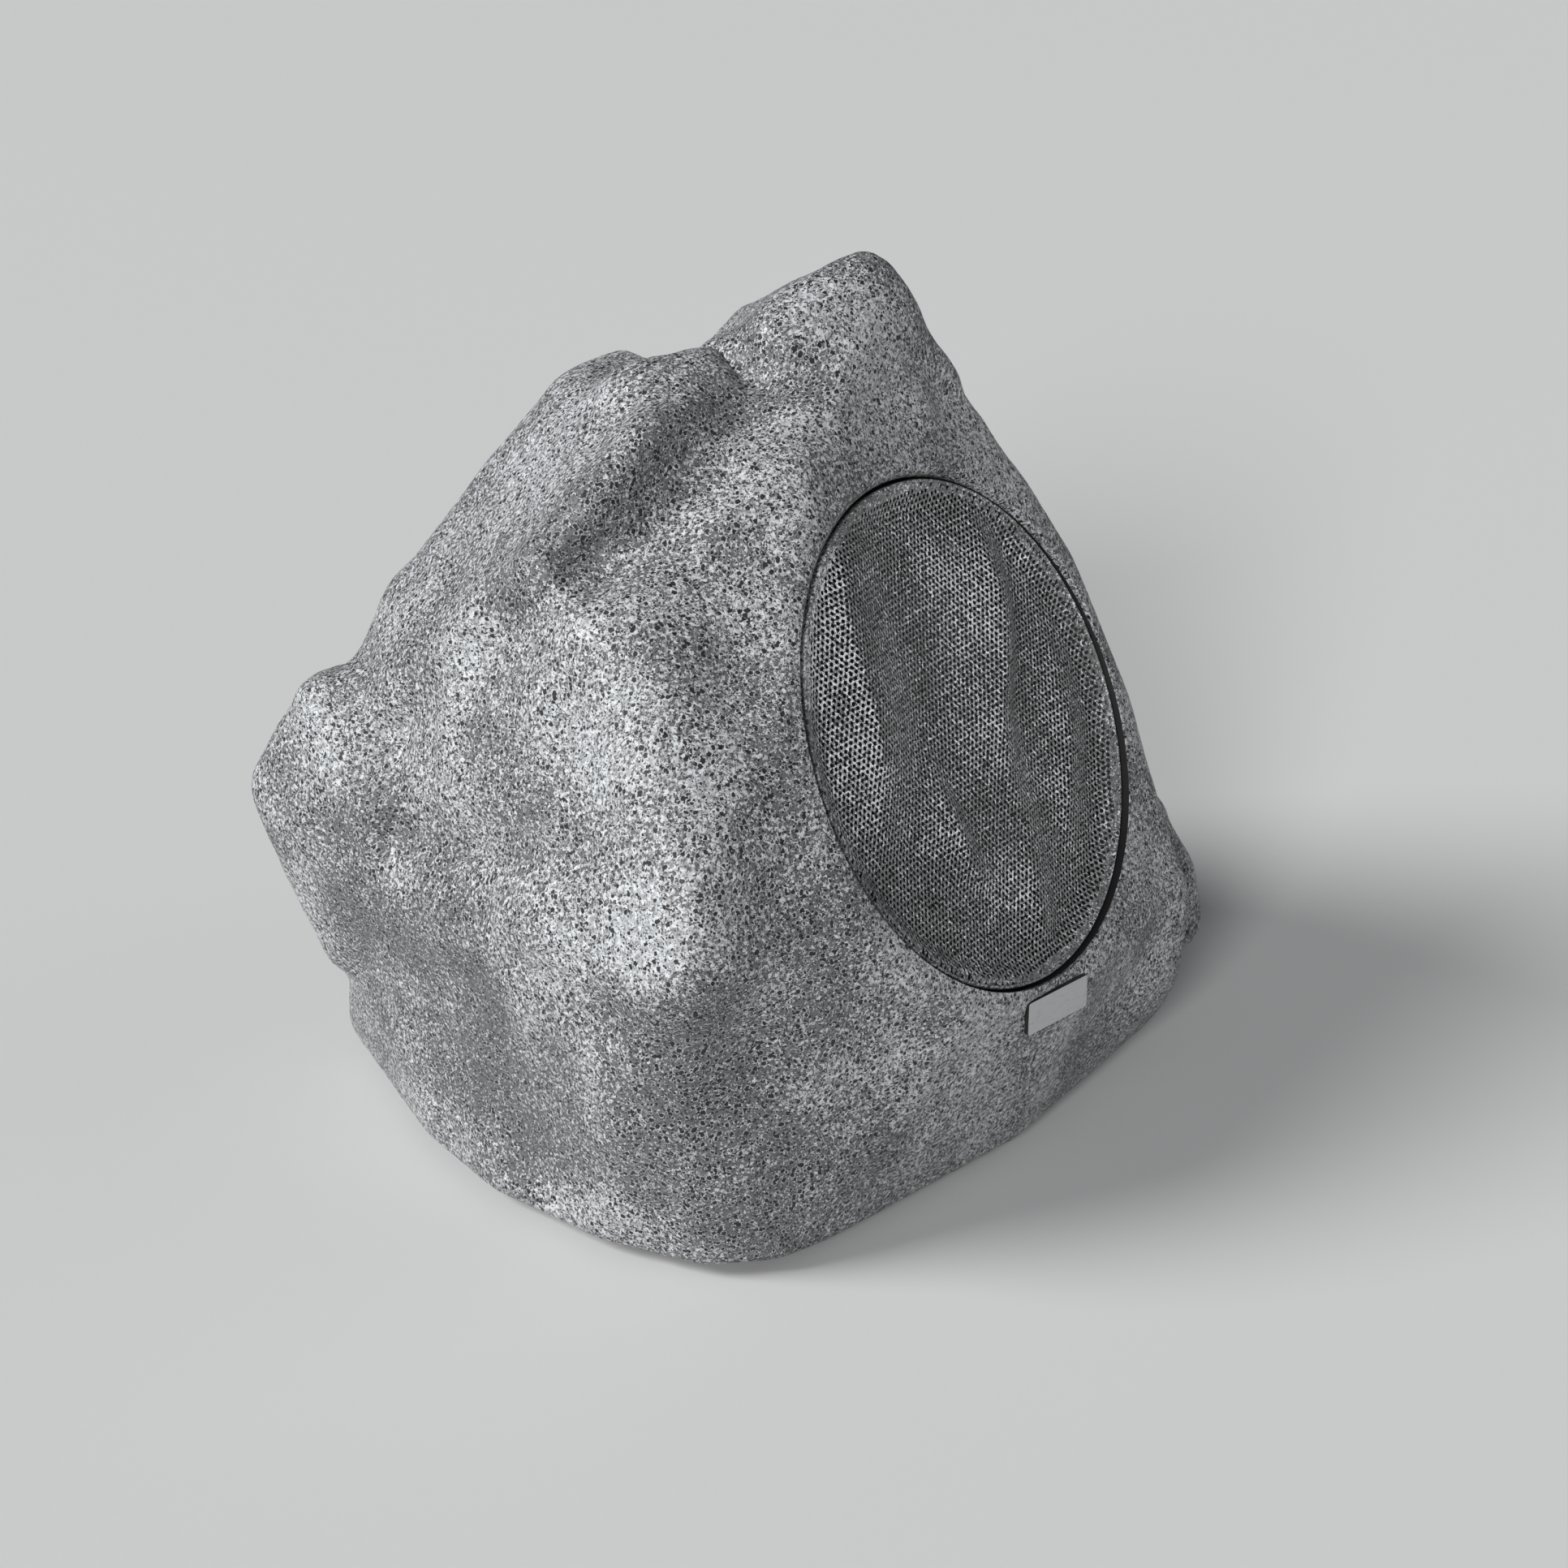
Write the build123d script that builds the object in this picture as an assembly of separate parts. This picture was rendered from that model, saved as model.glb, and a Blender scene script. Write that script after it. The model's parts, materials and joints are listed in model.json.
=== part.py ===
from build123d import *
import itertools
import math
import os

# Rock shaped garden speaker. Millimetres, front towards -Y, up +Z, feet standing on Z = 0.

# Driving dimensions of the stone
DEPTH = 300.0  # name plate to cable gland
SKIN = 12.0  # wall of the moulded stone
STAND = 4.0  # flat bottom of the stone above the ground

# Driving dimensions of the grille and the driver behind it
GRILLE_R = 88.0
GRILLE_HEIGHT = 160.0  # centre of the grille above the ground
TILT = 24.7  # degrees that the grille leans back
LIP = 4.0  # stone in front of the grille's edge
RIM_SEAT = 5.0  # how far the grille reaches beyond the driver's flange
FLANGE_W = 10.0  # overlap of the driver's flange on the collar
TRAVEL = 3.0  # free way of the cone to each side

# Driving dimensions of the bottom
BASE_R = 100.0
BASE_T = 4.0
FOOT_R = 11.0
SCREW_R = 2.0

os.makedirs("parts", exist_ok=True)
LAID_OUT = 300.0  # depth that the stone's corners are laid out for
STRETCH = DEPTH / LAID_OUT
DRIVER_R = GRILLE_R - RIM_SEAT
CUTOUT_R = DRIVER_R - FLANGE_W
front = Plane(
    origin=(0, -105 * STRETCH, GRILLE_HEIGHT),
    x_dir=(1, 0, 0),
    z_dir=(0, -math.cos(math.radians(TILT)), math.sin(math.radians(TILT))),
)


def save(name, shape):
    solids = shape.solids()
    node = solids[0] if len(solids) == 1 else Compound(children=list(solids))
    node.label = name
    export_step(node, f"parts/{name}.step")


def around(count, radius, start=0.0):
    """Places on a circle, each turned to face outwards."""
    return PolarLocations(radius, count, start)


def turned(*outline):
    """A body turned about the driver's axis from its half section of (radius, depth) corners."""
    section = make_face(Polyline(*[(r, 0, z) for r, z in outline], close=True))
    return front.location * revolve(section, Axis.Z)


def drum(radius, low, high):
    """A round bar on the driver's axis between two depths."""
    return front.location * Pos(0, 0, (low + high) / 2) * Cylinder(radius, high - low)


# The stone. Each lump is the hull of a few corners of its hollow, and its skin is the hull of the same
# corners after each has grown into a small many-sided nodule, which wears every edge round.
def face_corner(x, up):
    """A corner behind the flat round the grille, in grille radii from its middle."""
    return front.from_local_coords((x * GRILLE_R, up * GRILLE_R, LIP - SKIN))


def deep(corners):
    """Corners stretched from the depth they are laid out for to the stone's own."""
    return [Vector(x, y * STRETCH, z) for x, y, z in corners]


FLOOR = 12.0  # height of the hollow's floor

face = [
    face_corner(-0.284, 1.375),
    face_corner(0.62, 1.31),
    face_corner(1, 0.386),
    face_corner(1.05, -0.25),
    face_corner(0.955, -0.977),
    face_corner(0.125, -1.08),
    face_corner(-0.591, -0.875),
    face_corner(-1.068, -0.375),
    face_corner(-0.966, 0.409),
]
body = [
    (-105, -52, 199),
    (-103, -11, 229),
    (-130, -81, 147),
    (-136, -86, 122),
    (-138, -37, 123),
    (-117, 52, 106),
    (-101, 31, 181),
    (-46, -23, 257),
    (48, 21, 253),
    (92, 21, 203),
    (121, 0, 141),
    (106, 74, 131),
    (20, 108, 163),
    (-31, 62, 230),
    (-134, -62, 66),
    (-123, -42, FLOOR),
    (-117, -77, FLOOR),
    (-104, -92, FLOOR),
    (-88, -98, FLOOR),
    (4, -117, FLOOR),
    (92, -121, FLOOR + 6),
    (126, -88, FLOOR + 10),
    (133, 0, FLOOR),
    (120, 78, FLOOR),
    (60, 112, FLOOR),
    (-68, 111, FLOOR + 4),
    (-104, 45, FLOOR),
    (-119, 4, FLOOR),
]
lower_right = [
    (93, -107, 108),
    (106, -117, 90),
    (117, -125, 64),
    (118, -128, 47),
    (138, -70, 84),
    (136, -6, 78),
    (127, -36, 116),
    (131, -64, 28),
    (60, -60, 100),
]
left_ridge = [
    (-30, -32, 264),
    (-64, -20, 261),
    (-93, -19, 241),
    (-105, 16, 206),
    (-97, 57, 167),
    (-10, 33, 263),
    (-34, 33, 261),
    (-79, 71, 195),
    (-99, 87, 148),
    (20, 50, 230),
    (-20, 96, 170),
    (-60, 20, 160),
]
crest = [
    (32, -40, 297),
    (25, -34, 294),
    (-5, -33, 284),
    (-10, -48, 264),
    (31, 3, 276),
    (33, -4, 260),
    (57, -55, 258),
    (58, -10, 256),
    (6, 24, 236),
    (-10, -10, 240),
]
left_knob = [
    (-109, 112, 127),
    (-110, 88, 163),
    (-94, 66, 168),
    (-118, 55, 132),
    (-115, 57, 100),
    (-92, 97, 62),
    (-58, 116, 146),
    (-40, 112, 80),
    (-40, 60, 120),
    (-64, 100, 30),
]
lumps = [face + deep(body)] + [deep(lump) for lump in (lower_right, left_ridge, crest, left_knob)]

near, far = 1 / math.sqrt(5), 2 / math.sqrt(5)
nodule = [front.z_dir * SKIN, front.z_dir * -SKIN]
for step in range(5):
    turn = math.radians(72 * step + 90)
    for side, swing in ((1, turn), (-1, turn + math.radians(36))):
        outwards = front.x_dir * math.cos(swing) + front.y_dir * math.sin(swing)
        nodule.append((outwards * far + front.z_dir * (near * side)) * SKIN)
pairs = [(a, b) for a, b in itertools.combinations(nodule, 2) if a.get_angle(b) < 70]
nodule += [(a + b).normalized() * SKIN for a, b in pairs]


def grown(corners):
    return ConvexPolyhedron([corner + way for corner in corners for way in nodule])


stone = Part() + [grown(corners) for corners in lumps]
stone = split(stone, Plane.XY.offset(STAND), keep=Keep.TOP)
hollow = Part() + [ConvexPolyhedron(corners) for corners in lumps]

# Depths along the driver's axis, counted from the grille's edge inwards
GRILLE_SEAT = -8.6
GASKET_SEAT = -25.5
GASKET_T = 1.5
FLANGE_LOW = GASKET_SEAT + GASKET_T
FLANGE_TOP = FLANGE_LOW + 4.0
LEDGE_LOW = GASKET_SEAT - 8.0
WELL_R = DRIVER_R + 1.0
RECESS_R = GRILLE_R + 1.2
COLLAR_R = RECESS_R + 8.0
SCREW_PCD_R = DRIVER_R - 4.0
DRIVER_SCREWS = 4

# The name plate's flat, turned a little to the left like the stone below the grille
PLATE_W, PLATE_H, PLATE_T = 31.0, 12.5, 1.8
PLATE_TURN = 11.0
PLATE_DROP = 9.45  # its middle below the grille's edge
PLATE_SIDE = -7.0
plate_x = Vector(math.cos(math.radians(PLATE_TURN)), -math.sin(math.radians(PLATE_TURN)), 0)
plate_z = GRILLE_HEIGHT - GRILLE_R * math.cos(math.radians(TILT)) - PLATE_DROP
plate_front = Plane(
    origin=(PLATE_SIDE, -DEPTH / 2 + PLATE_W / 2 * math.sin(math.radians(PLATE_TURN)), plate_z),
    x_dir=plate_x,
    z_dir=plate_x.cross(Vector(0, 0, 1)),
)
PAD_EDGE = 2.5  # flat left visible round the plate
PAD_DEPTH = 10.0

# The cable gland's boss low on the back
GLAND_Z = 44.0
GLAND_LONG = 25.0  # what stands out of the boss
GLAND_BOSS_R = 20.0
GLAND_BOSS_T = 15.0
TIP = DEPTH / 2
GLAND_FACE = TIP - GLAND_LONG
WALL_IN = GLAND_FACE - GLAND_BOSS_T
GLAND_R = 8.0  # thread of the gland
LOCKNUT_ACROSS, LOCKNUT_T = 24.0, 5.0
GLAND_BORE_R = 3.8
gland_axis = Plane(origin=(0, 0, GLAND_Z), x_dir=(1, 0, 0), z_dir=(0, 1, 0))


def rod(radius, low, high):
    """A round bar on the gland's axis between two places along Y."""
    return gland_axis.location * Pos(0, 0, (low + high) / 2) * Cylinder(radius, high - low)


def hexagon(across, low, high):
    """A six-sided bar on the gland's axis."""
    outline = RegularPolygon(across / 2, 6, major_radius=False)
    return gland_axis.location * Pos(0, 0, low) * extrude(outline, high - low)


# The ring round the bottom opening
OPENING_R = BASE_R - 20.0
RING_R = BASE_R + 9.0
RING_TOP = 26.0
GROOVE_IN = OPENING_R + 3.5
GROOVE_OUT = GROOVE_IN + 5.0
GROOVE_T = 2.0
BASE_SCREW_R = BASE_R - 6.0
BASE_SCREWS = 6
PLATE_TOP = STAND + BASE_T
PILOT_TOP = 22.0


def upright(radius, low, high):
    return Pos(0, 0, (low + high) / 2) * Cylinder(radius, high - low)


collar = drum(COLLAR_R, LEDGE_LOW, 0) & stone
ring = upright(RING_R, STAND, RING_TOP) & stone
gland_boss = rod(GLAND_BOSS_R, WALL_IN, GLAND_FACE)
plate_pad = (
    plate_front.location
    * Pos(0, 0, -PLATE_T - PAD_DEPTH / 2)
    * Box(PLATE_W + 2 * PAD_EDGE, PLATE_H + 2 * PAD_EDGE, PAD_DEPTH)
)
rock_shell = stone - hollow + [collar, ring, gland_boss, plate_pad]

# Grille recess with a worn lip, driver well and cutout
lip_cone = front.location * Pos(0, 0, 6.0) * Cone(RECESS_R, RECESS_R + 10, 10)
rock_shell -= lip_cone
rock_shell -= drum(RECESS_R, GRILLE_SEAT, 20)
rock_shell -= drum(WELL_R, GASKET_SEAT, 20)
rock_shell -= drum(CUTOUT_R, LEDGE_LOW - 10, 20)
for place in around(DRIVER_SCREWS, SCREW_PCD_R, 45):
    rock_shell -= front.location * place * Pos(0, 0, GASKET_SEAT - 3.5) * Cylinder(SCREW_R, 7)

# Flat for the name plate, hole for the gland
rock_shell -= (
    plate_front.location
    * Pos(0, 0, 10 - PLATE_T)
    * Box(PLATE_W + 2 * PAD_EDGE, PLATE_H + 2 * PAD_EDGE, 20)
)
rock_shell -= rod(GLAND_BOSS_R + 10, GLAND_FACE, GLAND_FACE + 20)
rock_shell -= rod(LOCKNUT_ACROSS / 2 + 5, WALL_IN - 20, WALL_IN)
rock_shell -= rod(GLAND_R, WALL_IN - 20, GLAND_FACE + 1)

# Bottom opening, seat of the base plate, gasket groove and pilot holes
rock_shell -= upright(OPENING_R, STAND - 1, RING_TOP + 1)
rock_shell -= upright(BASE_R + 1, STAND - 1, PLATE_TOP)
rock_shell -= upright(GROOVE_OUT, PLATE_TOP, PLATE_TOP + GROOVE_T) - upright(
    GROOVE_IN, PLATE_TOP, PLATE_TOP + GROOVE_T
)
for place in around(BASE_SCREWS, BASE_SCREW_R):
    rock_shell -= place * upright(SCREW_R, STAND, PILOT_TOP)
save("rock_shell", rock_shell)

# The grille: a steel sheet in soft waves with its rim folded back to the recess floor
SHEET_T = 1.0
RIM_T = 1.2
WAVE_LENGTH = 66.0
WAVE_HEIGHT = 3.3
WAVE_MID = -3.9

half = WAVE_LENGTH / 2


def wave(z):
    """Seven half waves with a valley in the middle, each an arc that runs on smoothly from the last."""
    arcs = []
    for k in range(-3, 4):
        top = z - WAVE_HEIGHT * (-1) ** k
        arcs.append(ThreePointArc((half * (k - 0.5), 0, z), (half * k, 0, top), (half * (k + 0.5), 0, z)))
    return arcs


upper = Wire(wave(WAVE_MID))
lower = Wire(wave(WAVE_MID - SHEET_T))
ends = [Line(upper @ 0, lower @ 0), Line(upper @ 1, lower @ 1)]
waves = extrude(make_face([*upper.edges(), *lower.edges(), *ends]), GRILLE_R, both=True)
waves = front.location * waves & drum(GRILLE_R - RIM_T / 2, -10, 5)
rim = drum(GRILLE_R, GRILLE_SEAT, 0) - drum(GRILLE_R - RIM_T, GRILLE_SEAT - 1, 1)
save("grille_mesh", waves + rim)

# The bare name plate
name_plate = extrude(RectangleRounded(PLATE_W, PLATE_H, 1.0), PLATE_T)
save("name_plate", plate_front.location * Pos(0, 0, -PLATE_T) * name_plate)

# Base plate with foot sockets and bosses for the transformer's bracket
SOCKET = 1.0
FOOT_AT = 0.51 * BASE_R
TRANSFORMER_AT = (0, 40)
BOSS_SPAN = 62.0
BOSS_R = 5.0
BOSS_TOP = PLATE_TOP + 7.0
feet = GridLocations(2 * FOOT_AT, 2 * FOOT_AT, 2, 2)
bosses = Pos(*TRANSFORMER_AT) * GridLocations(BOSS_SPAN, 0, 2, 1)
base_plate = upright(BASE_R, STAND, PLATE_TOP)
for place in bosses:
    base_plate += place * upright(BOSS_R, STAND, BOSS_TOP)
    base_plate -= place * upright(SCREW_R, PLATE_TOP, BOSS_TOP + 1)
for place in feet:
    base_plate -= place * upright(FOOT_R, STAND - 1, STAND + SOCKET)
for place in around(BASE_SCREWS, BASE_SCREW_R):
    base_plate -= place * upright(SCREW_R + 0.3, STAND - 1, PLATE_TOP + 1)
save("base_plate", base_plate)
save(
    "base_gasket",
    upright(GROOVE_OUT, PLATE_TOP, PLATE_TOP + GROOVE_T)
    - upright(GROOVE_IN, PLATE_TOP, PLATE_TOP + GROOVE_T),
)
FOOT_T = STAND + SOCKET
foot = Pos(0, 0, FOOT_T / 2) * Cone(FOOT_R - 1.2, FOOT_R, FOOT_T)
save("rubber_feet", Part() + [place * foot for place in feet])

# Screws: a pan head and a plain shank, under the plate with the head down
HEAD_R = 3.6
HEAD_T = 2.4


def screw(length):
    """A pan head screw along Z, its head resting on Z = 0 and its shank below."""
    shank = Pos(0, 0, -length / 2) * Cylinder(SCREW_R, length)
    return Pos(0, 0, HEAD_T / 2) * Cylinder(HEAD_R, HEAD_T) + shank


heads_down = Pos(0, 0, STAND) * Rot(180, 0, 0) * screw(PILOT_TOP - STAND - 2)
save("base_screws", Part() + [place * heads_down for place in around(BASE_SCREWS, BASE_SCREW_R)])

# Cable gland, from outside to inside: nut with its rubber seal, body, washer and locknut
WASHER_R, WASHER_T = 11.5, 1.5
FLANGE_T = 6.0
GLAND_ACROSS = 22.0
NUT_T = 10.0
DOME_LOW_R, DOME_TOP_R = 10.5, 7.0
flange_at = GLAND_FACE + WASHER_T
spigot_end = flange_at + FLANGE_T + 8.0
nut_low = flange_at + FLANGE_T + 1.0
SEAL_R = 6.4
gland_body = hexagon(GLAND_ACROSS, flange_at, flange_at + FLANGE_T)
gland_body += rod(GLAND_R, WALL_IN - LOCKNUT_T - 4, spigot_end)
gland_body -= rod(GLAND_BORE_R + 1.0, WALL_IN - 20, spigot_end + 1)
save("gland_body", gland_body)
save("gland_washer", rod(WASHER_R, GLAND_FACE, flange_at) - rod(GLAND_R, GLAND_FACE - 1, flange_at + 1))
dome_low = nut_low + NUT_T
dome = Pos(0, 0, (dome_low + TIP) / 2) * Cone(DOME_LOW_R, DOME_TOP_R, TIP - dome_low)
gland_nut = hexagon(GLAND_ACROSS, nut_low, dome_low) + gland_axis.location * dome
gland_nut -= rod(GLAND_R, nut_low - 1, spigot_end)
gland_nut -= rod(SEAL_R, spigot_end - 1, TIP - 2)
gland_nut -= rod(GLAND_BORE_R + 0.4, TIP - 3, TIP + 1)
save("gland_nut", gland_nut)
save("gland_seal", rod(SEAL_R, spigot_end, TIP - 2) - rod(GLAND_BORE_R, spigot_end - 1, TIP))
gland_locknut = hexagon(LOCKNUT_ACROSS, WALL_IN - LOCKNUT_T, WALL_IN)
save("gland_locknut", gland_locknut - rod(GLAND_R, WALL_IN - LOCKNUT_T - 1, WALL_IN + 1))

# The driver's basket: flange, conical wall with six windows, spider shelf and rear plate
SHELF = FLANGE_TOP - 38.0
REAR_LOW = SHELF - 8.0
REAR_T = 3.0
REAR_R = 48.0
REAR_BORE_R = 22.0
SHELF_W = 7.0
WINDOWS = 6
WINDOW_W, WINDOW_L = 38.0, 20.0
COIL_R = 13.2
driver_basket = turned(
    (DRIVER_R, FLANGE_LOW),
    (DRIVER_R, FLANGE_TOP),
    (CUTOUT_R - 3, FLANGE_TOP),
    (REAR_R, SHELF),
    (REAR_R - SHELF_W, SHELF),
    (REAR_R - SHELF_W, REAR_LOW + REAR_T),
    (REAR_BORE_R, REAR_LOW + REAR_T),
    (REAR_BORE_R, REAR_LOW),
    (REAR_R, REAR_LOW),
    (CUTOUT_R - 1, FLANGE_LOW),
)
TAG_DEPTH = FLANGE_TOP - 23.0  # halfway down the basket's wall, like the windows
for place in around(WINDOWS, (CUTOUT_R + REAR_R) / 2, 0):
    driver_basket -= front.location * place * Pos(0, 0, TAG_DEPTH) * Box(40, WINDOW_W, WINDOW_L)
for place in around(DRIVER_SCREWS, SCREW_PCD_R, 45):
    driver_basket -= front.location * place * Pos(0, 0, FLANGE_LOW) * Cylinder(SCREW_R + 0.3, 20)
TAG_OUT = 3.0 - CUTOUT_R  # outer face of the pad for the tag strip, below the axis
PAD_W, PAD_T, PAD_L = 26.0, 10.0, 16.0
tag_pad = front.location * Pos(0, TAG_OUT + PAD_T / 2, TAG_DEPTH) * Box(PAD_W, PAD_T, PAD_L)
driver_basket += tag_pad & drum(CUTOUT_R - 0.5, REAR_LOW, 0)
save("driver_basket", driver_basket)
driver_gasket = drum(DRIVER_R, GASKET_SEAT, FLANGE_LOW)
driver_gasket -= drum(CUTOUT_R + 1, GASKET_SEAT - 1, FLANGE_LOW + 1)
for place in around(DRIVER_SCREWS, SCREW_PCD_R, 45):
    driver_gasket -= front.location * place * Pos(0, 0, GASKET_SEAT) * Cylinder(SCREW_R + 0.3, 10)
save("driver_gasket", driver_gasket)

driver_screw = Pos(0, 0, FLANGE_TOP) * screw(FLANGE_TOP - GASKET_SEAT + 5)
save(
    "driver_screws",
    Part() + [front.location * place * driver_screw for place in around(DRIVER_SCREWS, SCREW_PCD_R, 45)],
)

# Moving system: cone on the coil's former, cap over the middle, held by the surround and the spider
CONE_R = CUTOUT_R - 13.0
CONE_T = 1.8
ROLL_W = 10.0  # the surround's roll
ROLL_H = 6.0
ROLL_T = 1.2
GLUE_W = 5.0
GLUE_T = 0.8
CONE_TOP = FLANGE_TOP + GLUE_T
NECK_TOP = FLANGE_TOP - 29.0
NECK_LOW = NECK_TOP - 2.0
SLOPE = (CONE_TOP - NECK_TOP) / (CONE_R - COIL_R)
GAP = 0.3  # between the moving system and what stays still


def cone_face(radius):
    return CONE_TOP - SLOPE * (CONE_R - radius)


save(
    "surround",
    turned(
        (CONE_R + ROLL_W + GLUE_W, FLANGE_TOP),
        (CONE_R + ROLL_W + GLUE_W, CONE_TOP),
        (CONE_R + ROLL_W, CONE_TOP),
        (CONE_R + ROLL_W / 2, CONE_TOP + ROLL_H),
        (CONE_R + GAP, CONE_TOP),
        (CONE_R + GAP, FLANGE_TOP),
        (CONE_R + ROLL_W / 2, CONE_TOP + ROLL_H - ROLL_T),
        (CONE_R + ROLL_W - ROLL_T, FLANGE_TOP),
    ),
)
save(
    "cone",
    turned((CONE_R, CONE_TOP), (CONE_R, CONE_TOP - CONE_T), (COIL_R, NECK_LOW), (COIL_R, NECK_TOP)),
)
CAP_R = 20.0
CAP_T = 1.0
CAP_TOP = NECK_TOP + 10.4
save(
    "dust_cap",
    turned(
        (CAP_R, cone_face(CAP_R)),
        (CAP_R - CAP_T, cone_face(CAP_R - CAP_T)),
        (CAP_R / 2, CAP_TOP - 2 * CAP_T),
        (0, CAP_TOP - CAP_T),
        (0, CAP_TOP),
        (CAP_R / 2, CAP_TOP - CAP_T),
    ),
)
SPIDER_R = REAR_R - 2.0
SPIDER_T = 0.8
save(
    "spider",
    turned(
        (COIL_R + GAP, SHELF),
        (COIL_R + GAP, SHELF + SPIDER_T),
        (SPIDER_R, SHELF + SPIDER_T),
        (SPIDER_R, SHELF),
    ),
)
FORMER_IN = COIL_R - 0.4
WIRE_T = 0.7
TOP_PLATE_T = 6.0
COIL_LONG = TOP_PLATE_T + 2 * TRAVEL - 1.0
COIL_LOW = REAR_LOW - (TOP_PLATE_T + COIL_LONG) / 2
save(
    "voice_coil",
    turned(
        (FORMER_IN, COIL_LOW),
        (COIL_R + WIRE_T, COIL_LOW),
        (COIL_R + WIRE_T, COIL_LOW + COIL_LONG),
        (COIL_R, COIL_LOW + COIL_LONG),
        (COIL_R, NECK_TOP),
        (FORMER_IN, NECK_TOP),
    ),
)

# Magnet system, stacked behind the basket
MAGNET_R, MAGNET_BORE_R, MAGNET_T = 50.0, 27.0, 16.0
TOP_PLATE_R = MAGNET_R - 5.0
YOKE_R = MAGNET_R - 4.0
TOP_PLATE_LOW = REAR_LOW - TOP_PLATE_T
MAGNET_LOW = TOP_PLATE_LOW - MAGNET_T
YOKE_LOW = MAGNET_LOW - TOP_PLATE_T
POLE_R = FORMER_IN - 0.6
save(
    "top_plate",
    turned(
        (COIL_R + 1.5, TOP_PLATE_LOW),
        (COIL_R + 1.5, REAR_LOW),
        (TOP_PLATE_R, REAR_LOW),
        (TOP_PLATE_R, TOP_PLATE_LOW),
    ),
)
save(
    "magnet",
    turned(
        (MAGNET_BORE_R, MAGNET_LOW),
        (MAGNET_BORE_R, TOP_PLATE_LOW),
        (MAGNET_R, TOP_PLATE_LOW),
        (MAGNET_R, MAGNET_LOW),
    ),
)
save(
    "yoke",
    turned(
        (0, YOKE_LOW),
        (YOKE_R, YOKE_LOW),
        (YOKE_R, MAGNET_LOW),
        (POLE_R, MAGNET_LOW),
        (POLE_R, REAR_LOW),
        (0, REAR_LOW),
    ),
)

# Tag strip on the basket's pad, with two tags standing out below it
TAG_SPAN = 14.0
TAG_LONG = 6.0
STRIP_T = 2.0
tag_tip = TAG_OUT - STRIP_T - TAG_LONG
strip = Pos(0, TAG_OUT - STRIP_T / 2, TAG_DEPTH) * Box(24, STRIP_T, 12)
for place in GridLocations(TAG_SPAN, 0, 2, 1):
    strip += place * Pos(0, tag_tip + TAG_LONG / 2, TAG_DEPTH) * Box(4, TAG_LONG, 0.8)
save("driver_terminals", front.location * strip)

# Line transformer: laminated core with two windows, winding on the middle leg, strap to the plate
CORE_W, CORE_T, CORE_H = 48.0, 18.0, 40.0
LEG = CORE_W / 6
WINDOW_H = CORE_H - 2 * LEG
WINDING_T = 32.0
STRAP_T = 1.5
STRAP_W = 14.0
core_at = Pos(TRANSFORMER_AT[0], TRANSFORMER_AT[1], PLATE_TOP + CORE_H / 2)
core = Box(CORE_W, CORE_T, CORE_H)
for place in GridLocations(3 * LEG, 0, 2, 1):
    core -= place * Box(LEG, CORE_T + 2, WINDOW_H)
save("transformer_core", core_at * core)
winding = Box(4 * LEG - 0.4, WINDING_T, WINDOW_H - 0.4) - Box(2 * LEG, CORE_T, WINDOW_H)
save("transformer_winding", core_at * winding)
strap_side = [
    (BOSS_SPAN / 2 + 6, BOSS_TOP),
    (BOSS_SPAN / 2 + 6, BOSS_TOP + STRAP_T),
    (CORE_W / 2 + STRAP_T, BOSS_TOP + STRAP_T),
    (CORE_W / 2 + STRAP_T, PLATE_TOP + CORE_H + STRAP_T),
]
strap_inner = [(CORE_W / 2, PLATE_TOP + CORE_H), (CORE_W / 2, BOSS_TOP)]
strap_outline = strap_side + [(-x, z) for x, z in reversed(strap_side)]
strap_outline += [(-x, z) for x, z in reversed(strap_inner)] + strap_inner
strap_line = Polyline(*[(x, 0, z) for x, z in strap_outline], close=True)
strap = Pos(*TRANSFORMER_AT) * extrude(make_face(strap_line), STRAP_W / 2, both=True)
for place in bosses:
    strap -= place * upright(SCREW_R + 0.3, BOSS_TOP - 1, BOSS_TOP + STRAP_T + 1)
save("transformer_bracket", strap)
strap_screw = Pos(0, 0, BOSS_TOP + STRAP_T) * screw(BOSS_TOP - PLATE_TOP)
save("transformer_screws", Part() + [place * strap_screw for place in bosses])

# Terminal block on the plate, with two clamp shafts and two wire mouths on each side
BLOCK_AT = (-52, 21)
BLOCK_W, BLOCK_L, BLOCK_H = 16.0, 22.0, 14.0
WAY = 10.0
LEAD_R = 1.0
LEAD_Z = PLATE_TOP + BLOCK_H / 2
block = Pos(*BLOCK_AT, PLATE_TOP + BLOCK_H / 2) * Box(BLOCK_W, BLOCK_L, BLOCK_H)
ways = Pos(*BLOCK_AT) * GridLocations(0, WAY, 1, 2)
for place in ways:
    block -= place * upright(2.0, PLATE_TOP + BLOCK_H - 4, PLATE_TOP + BLOCK_H + 1)
save("terminal_block", block)


def lead(*corners):
    """A wire laid along straight stretches."""
    line = Polyline(*corners)
    section = Plane(origin=line @ 0, z_dir=line % 0) * Circle(LEAD_R)
    return sweep(section, line, transition=Transition.RIGHT)


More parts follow.
